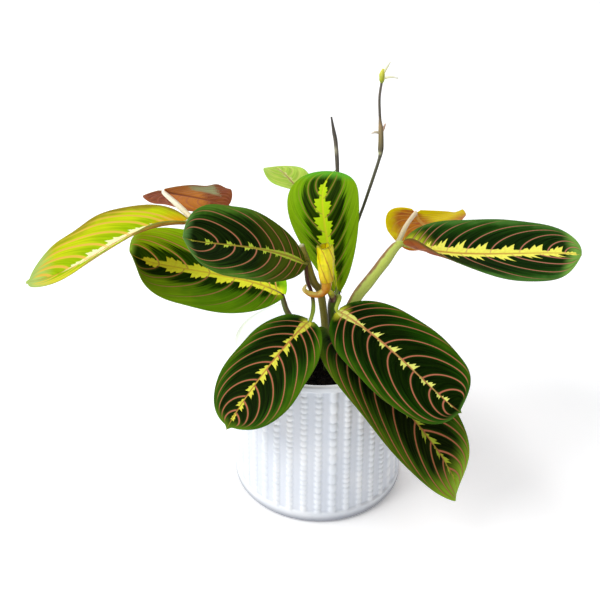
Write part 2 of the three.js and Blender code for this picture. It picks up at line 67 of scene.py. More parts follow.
# Pot: its wall, and the ribs of beads on it, of which every fifth has larger beads
POT_HEIGHT = 118
POT_FOOT_RADIUS = 65
POT_RIM_RADIUS = 61.5
POT_INNER_RADIUS = 57.6
POT_FLOOR = 6
POT_CENTRE_RADIUS = 0.5
FOOT_ROUND = 4
RIM_ROUND = 1.2
RIB_COUNT = 38
RIB_TURN = 268.8
BEADS_PER_RIB = 22
LARGE_BEADS = 14
LARGE_EVERY = 5
LARGE_FIRST = 1
RIB_START = 8.5
RIB_END = 114.5
RIB_RELIEF = 1.6
BEAD_DIP = 1.25
RIB_WIDTH = 0.3
RIB_BLEND = 2
LARGE_WIDTH = 1.15
POT_COLUMNS = 11 * RIB_COUNT
POT_ROWS = 180
# The rows of the profile between which the inside starts to glow, a painted light that keeps the inner wall
# white, and how strongly it glows
INSIDE_ROWS = (190, 200)
INSIDE_GLOW = 0.9

# Soil: its level, its lumps as size and count across the pot, and the ranges that each grain's size, its
# stretch, the places of its points and its height above the soil are drawn from
SOIL_LEVEL = 96
SOIL_FALL = 7
SOIL_FLAT_RADIUS = 21
SOIL_SKIN = 3
SOIL_RADIUS = POT_INNER_RADIUS - 0.4
SOIL_RINGS = 90
SOIL_SPOKES = 260
SOIL_LUMPS = ((1.1, 9), (0.7, 21), (0.45, 47))
LUMP_WAVES = 10
GRAIN_COUNT = 620
GRAIN_SIZES = (0.7, 2.1)
GRAIN_STRETCH = (0.6, 1.3)
GRAIN_UNEVEN = (0.8, 1.15)
GRAIN_HEIGHTS = (-0.2, 1.1)
GRAIN_REACH = 0.96
GRAIN_SIDES = 7
GRAIN_RINGS = (-65, -20, 25, 68)

# Leaf blades: the same formulas as the solid blades, and the finer mesh
ROUND_PART = 0.97
ROUND_POWER = 2.35
FULL_POWER = 0.56
TIP_REACH = 0.16
TIP_BLEND = 0.02
TIP_CLOSE_POWER = 6
TIP_HALF_WIDTH = 0.3
BASE_SHARE = 0.12
FOLD_POWER = 0.8
BASE_CURL_POWER = 2
WAVE_POWER = 3
NOTCH_POWER = 5
FLAT_CURL = 1e-6
BLADE_MIDDLE = 0.5
BLADE_EDGE = 0.26
VEIN_DEPTH = 0.26
VEIN_RELIEF_WIDTH = 1.0
PUFF = 0.22
PUFF_GAP = 8
RIB_DEPTH = 0.45
RIB_RELIEF_WIDTH = 1.6
UNDER_RIB = 1.0
UNDER_RIB_WIDTH = 1.8
# The rows and columns of a blade's mesh, and how much the rows crowd towards its ends
BLADE_GRID = (190, 80)
BLADE_GRIDS = {"back_small": (110, 44), "back_left": (150, 60), "back_right": (160, 64),
               "far_left": (180, 70)}
ROW_CROWDING = 0.4
# The widest and the crowded distances between two side veins that the pattern allows for
WIDEST_GAP = 20
CROWDED_GAPS = (1.4, 4.2)
# The shares of the half width between which the relief ends, and how far past the first and the last
# side vein the pattern ends
RELIEF_ENDS = (0.86, 0.98)
FIRST_VEIN_ENDS = (-0.65, -0.3)
LAST_VEIN_ENDS = (0.35, 0.7)
VEIN_ROOM = 0.9
VEIN_STEP = 0.004
TIP_FADE = 1.3
TIP_FADE_START = 0.8
# Outlines of a lime tooth from its start to its end, as pairs of place and height
LOBED = ((0, 0), (0.07, 0.42), (0.22, 0.5), (0.33, 0.3), (0.5, 0.85), (0.62, 0.58), (0.87, 1), (1, 0))
BLOCKY = ((0, 0), (0.08, 0.66), (0.28, 0.8), (0.38, 0.6), (0.58, 0.98), (0.68, 0.8), (0.9, 1), (1, 0))
SMALL = ((0, 0), (0.14, 0.4), (0.32, 0.18), (0.56, 0.85), (0.7, 0.5), (0.9, 1), (1, 0))


def completed(usual, rows):
    """The rows of a table, each with the usual values where it gives none of its own."""
    return {name: {**usual, **row} for name, row in rows.items()}


# Each leaf: the midrib's four control points from base to tip, the way the upper face looks at the base
# and at the tip, the half width, the fold of each half at the base and at the tip in degrees, the curl and
# what each half adds to it at the base, the place where the blade is widest, the tip's half width as a
# share, the share of the length where the blade ends, the notch at the base, and the height and number of
# the waves along the margin
LEAVES = completed(dict(curl=0, curl_base=(0, 0), end=1, wave=0.5, waves=3), {
    "front_left": dict(
        midrib=((-8, -26, 147.5), (-15.5, -31, 145), (-51.5, -56, 110), (-62.5, -72, 92)),
        faces=((-0.5, -0.2, 0.85), (-0.45, -0.6, 0.65)), half_width=34, fold_left=(8, -3),
        fold_right=(0, 3), curl=-6, widest=0.5, tip=0.45, notch=2),
    "left": dict(
        midrib=((-27.5, 6, 152), (-55, 22.5, 162), (-135, 15.5, 167.7), (-131.5, 5, 186.4)),
        faces=((-0.15, -0.65, 0.75), (-0.05, -0.5, 0.9)), half_width=32.5, fold_left=(0, 25),
        fold_right=(7, -5), curl_base=(-10, 0), widest=0.54, tip=0.03, end=0.972, notch=3.5, wave=0.7),
    "middle_left": dict(
        midrib=((-10.5, -10, 183.5), (-37, -26, 207.5), (-78.5, -31, 206), (-88, -36, 215)),
        faces=((-0.1, -0.55, 0.85), (-0.45, -0.35, 0.8)), half_width=30.5, fold_left=(3, 14),
        fold_right=(6, 9), curl=3, curl_base=(-10, -8), widest=0.56, tip=0.05, end=0.972, notch=1),
    "upright": dict(
        midrib=((12.5, 12, 151.5), (1, 17.5, 211.5), (-4.5, 27, 225), (11.5, 48, 229)),
        faces=((-0.15, -0.95, 0.25), (-0.1, -0.35, 0.95)), half_width=27, fold_left=(-21, -12),
        fold_right=(14, 19), curl_base=(-13, 2), widest=0.56, tip=0.14, notch=2.5, wave=0.6, waves=2.5),
    "front_right": dict(
        midrib=((12, -15, 149.5), (43.5, -37, 142.5), (73.5, -78.5, 122), (87.5, -86, 116.5)),
        faces=((0.35, -0.4, 0.85), (0.5, -0.7, 0.5)), half_width=34, fold_left=(7, 12), fold_right=(1, -1),
        curl_base=(-5, -8), widest=0.46, tip=0.3, notch=0.5),
    "low_right": dict(
        midrib=((11, -22, 130.5), (20, -53, 140.5), (102.5, -81, 64), (91, -82, 40.5)),
        faces=((0.55, -0.6, 0.6), (0.55, -0.35, -0.75)), half_width=33, fold_left=(12, -2),
        fold_right=(15, 11), widest=0.395, tip=0.12, notch=3, wave=0.8),
    "right": dict(
        midrib=((59, 16, 186.5), (93, 4, 176.5), (156, -9, 196), (173, -18, 193)),
        faces=((0.15, -0.5, 0.85), (0.2, -0.4, 0.9)), half_width=31, fold_left=(7, -2),
        fold_right=(42, -10), curl=-2, curl_base=(0, 76), widest=0.46, tip=0.04, end=0.972, notch=1),
    "back_right": dict(
        midrib=((70.5, 46, 197.7), (73.5, 50.5, 184.7), (94.5, 85, 169.2), (101, 98, 148.7)),
        faces=((0.15, 0.65, 0.75), (-0.25, 0.9, 0.35)), half_width=30, fold_left=(24, -14),
        fold_right=(8, 7), curl_base=(5, 0), widest=0.49, tip=0.15, notch=2, wave=1.2, waves=2.5),
    "far_left": dict(
        midrib=((-95, 22, 200), (-137.5, 13.5, 204.5), (-157.5, -8.5, 174.5), (-204, -8, 167.5)),
        faces=((-0.3, -0.25, 0.95), (-0.3, -0.4, 0.85)), half_width=28.5, fold_left=(30, 21),
        fold_right=(11, 8), curl=14, curl_base=(6, 0), widest=0.54, tip=0.5, end=0.985, notch=3.5, wave=1,
        waves=2.5),
    "back_left": dict(
        midrib=((-112, 46, 214.5), (-106, 52.5, 210), (-90.5, 84, 195), (-68.5, 92, 184)),
        faces=((-0.05, 0.55, 0.8), (0.05, 0.85, 0.5)), half_width=29.5, fold_left=(2, 0), fold_right=(0, 0),
        widest=0.43, tip=0.1, notch=2.5, wave=1, waves=2.5),
    "back_small": dict(
        midrib=((-9.5, 57, 209), (-21.5, 66, 210), (-26, 84, 222), (-39.5, 91, 216)),
        faces=((-0.35, 0.55, 0.75), (-0.25, 0.45, 0.85)), half_width=17, fold_left=(8, -3),
        fold_right=(7, 2), curl=3, widest=0.5, tip=0.02, end=0.972, notch=3, wave=0.4, waves=2),
})

# Veins of each leaf: for each half the places where the side veins leave the midrib, as shares of its
# length, each with how far that vein sweeps forward on its way out; how much all of them lean forward on
# each half; between which shares of the half width they fade; where between two veins a lime tooth starts
# and ends on each half, its outline, how closely it follows the veins (1 follows them, 0 stands square to
# the midrib) and how tall the teeth are on each half; and along the leaf the half width of the lime band as
# a share of the blade's, and of that the share that stays between its teeth
VEINS = completed(dict(lean=(0.05, 0.05), tooth=LOBED, square=1, sides=(1, 1)), {
    "front_left": dict(
        left=((0.05, 0.09), (0.115, 0.135), (0.19, 0.19), (0.305, 0.21), (0.425, 0.26), (0.535, 0.3),
              (0.655, 0.39), (0.77, 0.36), (0.86, 0.25)),
        right=((0.05, 0.12), (0.135, 0.16), (0.235, 0.185), (0.36, 0.265), (0.485, 0.3), (0.617, 0.32),
               (0.737, 0.34), (0.84, 0.3)), lean=(0.05, 0.12), fade=(0.78, 1.02),
        teeth=((0.04, 0.62), (0.16, 0.72)), sides=(1, 0.75),
        band=((0, 0.5), (0.1, 0.3), (0.2, 0.21), (0.33, 0.24), (0.6, 0.25), (0.8, 0.2), (0.93, 0.14),
              (1, 0)), floor=((0, 1), (0.16, 0.9), (0.27, 0.1), (1, 0))),
    "left": dict(
        left=((0.02, 0.03), (0.0625, 0.06), (0.116, 0.125), (0.1875, 0.22), (0.286, 0.34), (0.4125, 0.53),
              (0.54, 0.75), (0.68, 1)),
        right=((0.03, 0.03), (0.08, 0.06), (0.14, 0.1), (0.22, 0.18), (0.31, 0.3), (0.41, 0.42),
               (0.52, 0.5), (0.68, 0.6)), lean=(0, 0.1), fade=(0.6, 1), teeth=((0.04, 0.68), (0.12, 0.72)),
        tooth=BLOCKY, square=0.6, sides=(1, 0.9),
        band=((0, 0.42), (0.1, 0.2), (0.2, 0.24), (0.4, 0.27), (0.6, 0.3), (0.7, 0.26), (0.78, 0.16),
              (0.84, 0)), floor=((0, 1), (0.12, 0.9), (0.2, 0.45), (0.6, 0.4), (1, 0.2))),
    "middle_left": dict(
        left=((0.02, 0.05), (0.07, 0.09), (0.115, 0.14), (0.185, 0.18), (0.257, 0.24), (0.353, 0.36),
              (0.5, 0.45), (0.643, 0.9)),
        right=((0.03, 0.03), (0.094, 0.05), (0.154, 0.14), (0.23, 0.22), (0.323, 0.42), (0.455, 0.7),
               (0.62, 1.1)), lean=(0.02, 0.02), fade=(0.78, 1.02), teeth=((0.14, 0.56), (0.22, 0.62)),
        tooth=SMALL, sides=(1, 0.9),
        band=((0, 0.3), (0.08, 0.24), (0.2, 0.2), (0.35, 0.18), (0.55, 0.18), (0.72, 0.14), (0.84, 0.1),
              (0.92, 0)), floor=((0, 1), (0.12, 0.75), (0.26, 0.35), (0.4, 0.12), (1, 0))),
    "upright": dict(
        left=((0.02, 0.1), (0.07, 0.15), (0.13, 0.2), (0.19, 0.32), (0.3, 0.6), (0.43, 1.25), (0.6, 2)),
        right=((0.03, 0.13), (0.1, 0.18), (0.18, 0.27), (0.27, 0.45), (0.4, 0.85), (0.57, 2.6)),
        lean=(0.05, 0.04), fade=(0.5, 0.9), teeth=((0.05, 0.86), (0.1, 0.82)), tooth=BLOCKY, square=0.3,
        band=((0, 0.3), (0.1, 0.27), (0.25, 0.3), (0.35, 0.31), (0.52, 0.29), (0.64, 0.23), (0.76, 0.14),
              (0.8, 0.06), (0.83, 0)), floor=((0, 0.8), (0.2, 0.5), (0.4, 0.36), (1, 0.3))),
    "front_right": dict(
        left=((0.02, 0.07), (0.06, 0.115), (0.125, 0.175), (0.21, 0.225), (0.33, 0.31), (0.457, 0.375),
              (0.61, 0.42), (0.75, 0.34)),
        right=((0.04, 0.08), (0.075, 0.18), (0.134, 0.285), (0.24, 0.4), (0.385, 0.48), (0.55, 0.6),
               (0.69, 0.75), (0.81, 0.6)), lean=(0.02, 0.02), fade=(0.86, 1.03),
        teeth=((0.16, 0.56), (0.3, 0.7)), tooth=SMALL,
        band=((0, 0.34), (0.07, 0.18), (0.16, 0.13), (0.3, 0.19), (0.5, 0.2), (0.65, 0.18), (0.85, 0.14),
              (0.96, 0)), floor=((0, 1), (0.1, 0.9), (0.2, 0.1), (1, 0))),
    "low_right": dict(
        left=((0.03, 0.1), (0.08, 0.1), (0.14, 0.1), (0.22, 0.1), (0.31, 0.1), (0.41, 0.1), (0.5, 0.1),
              (0.575, 0.15), (0.675, 0.19), (0.77, 0.25)),
        right=((0.05, 0.08), (0.1, 0.13), (0.17, 0.14), (0.24, 0.15), (0.32, 0.19), (0.42, 0.2),
               (0.535, 0.27), (0.63, 0.45), (0.72, 0.7)), lean=(0.17, 0.05), fade=(0.84, 1.03),
        teeth=((0.12, 0.66), (0.2, 0.7)), tooth=SMALL, sides=(0.85, 1),
        band=((0, 0.3), (0.1, 0.16), (0.3, 0.18), (0.5, 0.18), (0.62, 0.22), (0.75, 0.18), (0.84, 0.1),
              (0.9, 0)), floor=((0, 1), (0.1, 0.8), (0.25, 0.1), (1, 0))),
    "right": dict(
        left=((0.03, 0.03), (0.07, 0.05), (0.105, 0.075), (0.155, 0.13), (0.24, 0.185), (0.335, 0.28),
              (0.45, 0.35), (0.59, 0.34), (0.735, 0.3), (0.84, 0.3)),
        right=((0.05, 0.02), (0.12, 0.04), (0.205, 0.06), (0.31, 0.27), (0.42, 0.55), (0.55, 1.3),
               (0.685, 3)), lean=(0.02, 0.1), fade=(0.76, 1.02), teeth=((0.08, 0.82), (0.1, 0.78)),
        square=0.75,
        band=((0, 0.45), (0.1, 0.34), (0.2, 0.38), (0.32, 0.4), (0.5, 0.36), (0.65, 0.33), (0.8, 0.28),
              (0.92, 0.18), (0.97, 0)), floor=((0, 0.9), (0.1, 0.45), (0.5, 0.32), (1, 0.15))),
    "back_right": dict(
        left=((0.04, 0.08), (0.1, 0.13), (0.18, 0.18), (0.27, 0.24), (0.37, 0.3), (0.48, 0.38), (0.6, 0.46),
              (0.72, 0.6), (0.83, 0.9)),
        right=((0.06, 0.1), (0.13, 0.15), (0.21, 0.2), (0.31, 0.26), (0.42, 0.33), (0.54, 0.42),
               (0.66, 0.55), (0.78, 0.8)), fade=(0.75, 1), teeth=((0.1, 0.75), (0.1, 0.75)),
        band=((0, 0.35), (0.1, 0.2), (0.5, 0.22), (0.8, 0.15), (0.95, 0)),
        floor=((0, 0.9), (0.2, 0.3), (1, 0.1))),
    "far_left": dict(
        left=((0.03, 0.1), (0.1, 0.16), (0.19, 0.24), (0.3, 0.32), (0.42, 0.4), (0.55, 0.46), (0.68, 0.55),
              (0.8, 0.7)),
        right=((0.04, 0.2), (0.1, 0.26), (0.2, 0.3), (0.33, 0.4), (0.48, 0.42), (0.62, 0.5), (0.74, 0.6),
               (0.85, 0.7)), lean=(0.1, 0.1), fade=(0.84, 1.03), teeth=((0.05, 0.85), (0, 0.85)),
        band=((0, 0.08), (0.1, 0.12), (0.25, 0.24), (0.5, 0.27), (0.65, 0.2), (0.75, 0.1), (0.8, 0)),
        floor=((0, 0.6), (0.4, 0.42), (1, 0.3))),
    "back_left": dict(
        left=((0.05, 0.08), (0.12, 0.13), (0.2, 0.18), (0.29, 0.24), (0.4, 0.32), (0.51, 0.4), (0.63, 0.5),
              (0.75, 0.7)),
        right=((0.03, 0.07), (0.09, 0.12), (0.16, 0.16), (0.25, 0.22), (0.35, 0.28), (0.46, 0.36),
               (0.58, 0.45), (0.7, 0.6), (0.82, 0.9)), fade=(0.75, 1), teeth=((0.1, 0.75), (0.1, 0.75)),
        band=((0, 0.35), (0.1, 0.2), (0.5, 0.22), (0.8, 0.15), (0.95, 0)),
        floor=((0, 0.9), (0.2, 0.3), (1, 0.1))),
    "back_small": dict(
        left=((0.05, 0.08), (0.14, 0.16), (0.26, 0.24), (0.4, 0.34), (0.55, 0.46), (0.7, 0.6), (0.84, 0.9)),
        right=((0.09, 0.12), (0.2, 0.2), (0.33, 0.3), (0.48, 0.42), (0.63, 0.55), (0.78, 0.8)),
        fade=(0.65, 1), teeth=((0.1, 0.8), (0.1, 0.8)),
        band=((0, 0.35), (0.1, 0.22), (0.5, 0.22), (0.8, 0.15), (0.95, 0)),
        floor=((0, 0.9), (0.3, 0.3), (1, 0.1))),
})

# Upper face of each leaf: the colours of the dark between the veins, of the green further out, the margin,
# the tip, the lime band, the base, the side veins, the midrib and the fresh green towards the tip; between
# which shares the dark ends and the margin, the tip and the fresh green start; how short the base's colour
# is, and how much shorter further out; how strong and wide the veins are; how bright each half is painted,
# a painted light for the light that falls more on one half; how ragged the band is; and the record's slot
LOOKS = completed(dict(
    dark_reach=(0.4, 0.8), tip_reach=(0.9, 1.0), fresh_reach=(0.5, 1.1), base_reach=9, vein_strength=0.95,
    rib_width=0.9, line=0.5, painted_half_light=(1, 1), base_out=1.1, ragged=2, slot="leaf_dark"), {
    "front_left": dict(
        dark="#051200", mid="#1e4804", margin="#466c08", tip="#5a8018", band="#d8da48", base="#b9c832",
        vein="#b46a50", rib="#b9823c", dark_reach=(0.5, 0.85), rim=(0.66, 1.0), fresh="#2c5410",
        fresh_reach=(0.6, 1.1), rib_width=0.95),
    "left": dict(
        dark="#0c2600", mid="#4c7a0a", margin="#6c9c10", tip="#98cc4c", band="#f6fb3c", base="#b4c41e",
        vein="#b0744c", rib="#dcbc3c", dark_reach=(0.32, 0.52), rim=(0.4, 0.95), tip_reach=(0.86, 1.0),
        fresh="#80a412", fresh_reach=(0.35, 0.75), base_reach=16, vein_strength=0.85, rib_width=0.7,
        painted_half_light=(0.9, 2.6), ragged=1, slot="leaf_bright"),
    "middle_left": dict(
        dark="#030c00", mid="#1a3c06", margin="#588428", tip="#6c9c4c", band="#b8d040", base="#48540e",
        vein="#bc7458", rib="#a08a34", dark_reach=(0.5, 0.85), rim=(0.66, 1.02), tip_reach=(0.84, 0.98),
        fresh="#2c6420", fresh_reach=(0.6, 1.1), base_reach=4, vein_strength=0.9, line=0.42,
        painted_half_light=(1.1, 1.05), base_out=-0.5, ragged=1.6),
    "upright": dict(
        dark="#081e00", mid="#5c9004", margin="#7ca410", tip="#5cac28", band="#acd014", base="#9ab40c",
        vein="#94683c", rib="#c8c828", dark_reach=(0.5, 0.66), rim=(0.42, 0.9), tip_reach=(0.8, 0.95),
        fresh="#6c9c0c", fresh_reach=(0.7, 1.1), base_reach=10, vein_strength=0.8, line=0.4, painted_half_light=(1.1, 1),
        ragged=0.8, slot="leaf_bright"),
    "front_right": dict(
        dark="#051400", mid="#184204", margin="#40680c", tip="#4c7828", band="#e6ee74", base="#dcdc3c",
        vein="#be7056", rib="#bc8050", dark_reach=(0.45, 0.9), rim=(0.72, 1.02), tip_reach=(0.93, 1.0),
        fresh="#28561a", fresh_reach=(0.7, 1.2), base_reach=14, rib_width=0.85, ragged=1.6),
    "low_right": dict(
        dark="#040c00", mid="#34560e", margin="#5a7812", tip="#a4cc30", band="#a8bc34", base="#8ea02c",
        vein="#be6e50", rib="#b07c40", rim=(0.66, 1.0), tip_reach=(0.72, 0.9), fresh="#4c7c18",
        fresh_reach=(0.55, 1.0), base_reach=14, vein_strength=1, rib_width=0.85, line=0.58, ragged=1.8),
    "right": dict(
        dark="#061a00", mid="#1c4408", margin="#4c7c30", tip="#7cac48", band="#f0ee60", base="#dfe838",
        vein="#be7462", rib="#c08a40", dark_reach=(0.45, 0.88), rim=(0.74, 1.0), tip_reach=(0.84, 0.93),
        fresh="#3c6c2c", fresh_reach=(0.6, 1.1), base_reach=5, rib_width=1, line=0.4, ragged=1.2),
    "back_right": dict(
        dark="#6a8a10", mid="#b8b414", margin="#e0d818", tip="#d8dc20", band="#f0ec50", base="#f0e890",
        vein="#c07a28", rib="#e8c070", rim=(0.6, 0.95), fresh="#d8d820", vein_strength=0.8, rib_width=1.2,
        slot="leaf_orange"),
    "far_left": dict(
        dark="#a0c404", mid="#ccdc14", margin="#9c8c24", tip="#b4d070", band="#fbfac0", base="#ecae1c",
        vein="#dcb048", rib="#b8742c", dark_reach=(0.2, 0.6), rim=(0.72, 0.96), tip_reach=(0.82, 0.95),
        fresh="#c4d020", base_reach=5, line=1, ragged=1.6, slot="leaf_lime"),
    "back_left": dict(
        dark="#4c7a18", mid="#7f9c2c", margin="#a8a848", tip="#b0b858", band="#dce060", base="#d8cc60",
        vein="#b07a40", rib="#e0c080", rim=(0.7, 1.0), fresh="#a0a040", vein_strength=0.8, rib_width=1.2,
        slot="leaf_red"),
    "back_small": dict(
        dark="#9cbc44", mid="#b0c850", margin="#a4c84c", tip="#b4d05c", band="#ccd080", base="#d0cc78",
        vein="#b8a068", rib="#9c8048", rim=(0.6, 1.0), tip_reach=(0.85, 1.0), fresh="#a8cc70",
        vein_strength=0.4, rib_width=0.8, line=0.4, painted_half_light=(1.25, 1.25), ragged=1.5, slot="leaf_pale"),
})

# Lower face of each leaf: plain, in patches, at the margin, the veins and the midrib; between which shares
# of each half width the margin starts and where along the leaf it ends; and for one leaf the colours from
# -X to +X over a span in metres, with a pale patch
UNDERSIDES = completed(dict(edge=((0.75, 0.98), (0.75, 0.98)), edge_end=(1.1, 1.2)), {
    "front_left": dict(plain="#6c4a34", patch="#5d5a30", margin="#6f7c3c", vein="#b06a60", rib="#c88c70"),
    "left": dict(plain="#a4c848", patch="#b4d458", margin="#c4e078", vein="#b8a860", rib="#c0c860"),
    "middle_left": dict(plain="#6a4232", patch="#565a30", margin="#6c8050", vein="#b06e62", rib="#c48a6e"),
    "upright": dict(plain="#7c6a3c", patch="#6f8a30", margin="#8cb048", vein="#b88860", rib="#c8c070"),
    "front_right": dict(plain="#6c4434", patch="#545a2c", margin="#6a7c40", vein="#b46a60", rib="#c88870"),
    "low_right": dict(plain="#6a4634", patch="#56602c", margin="#728440", vein="#b06a5c", rib="#c08468"),
    "right": dict(plain="#b0602c", patch="#9c4c28", margin="#6e5426", vein="#c8806a", rib="#d8a078"),
    "back_right": dict(
        plain="#c46c1c", patch="#b05a28", margin="#ecd408", vein="#d8a040", rib="#cc9448",
        edge=((0.62, 0.95), (0.02, 0.4)), edge_end=(0.45, 0.7)),
    "far_left": dict(plain="#d8a83c", patch="#b47c2c", margin="#a4b050", vein="#d8b060", rib="#b07038"),
    "back_left": dict(
        plain="#8c4224", patch="#bc7028", margin="#94502c", vein="#a85c40", rib="#8c4a2c",
        span=(-0.14, 0.09), pale="#a2b080",
        across=((0, "#743626"), (0.29, "#7c3a28"), (0.34, "#c07028"), (0.56, "#cc802c"), (0.63, "#7c3e20"),
                (1, "#8c4824"))),
    "back_small": dict(plain="#a4bc60", patch="#c8b868", margin="#a8c070", vein="#b4a460", rib="#84642c"),
})
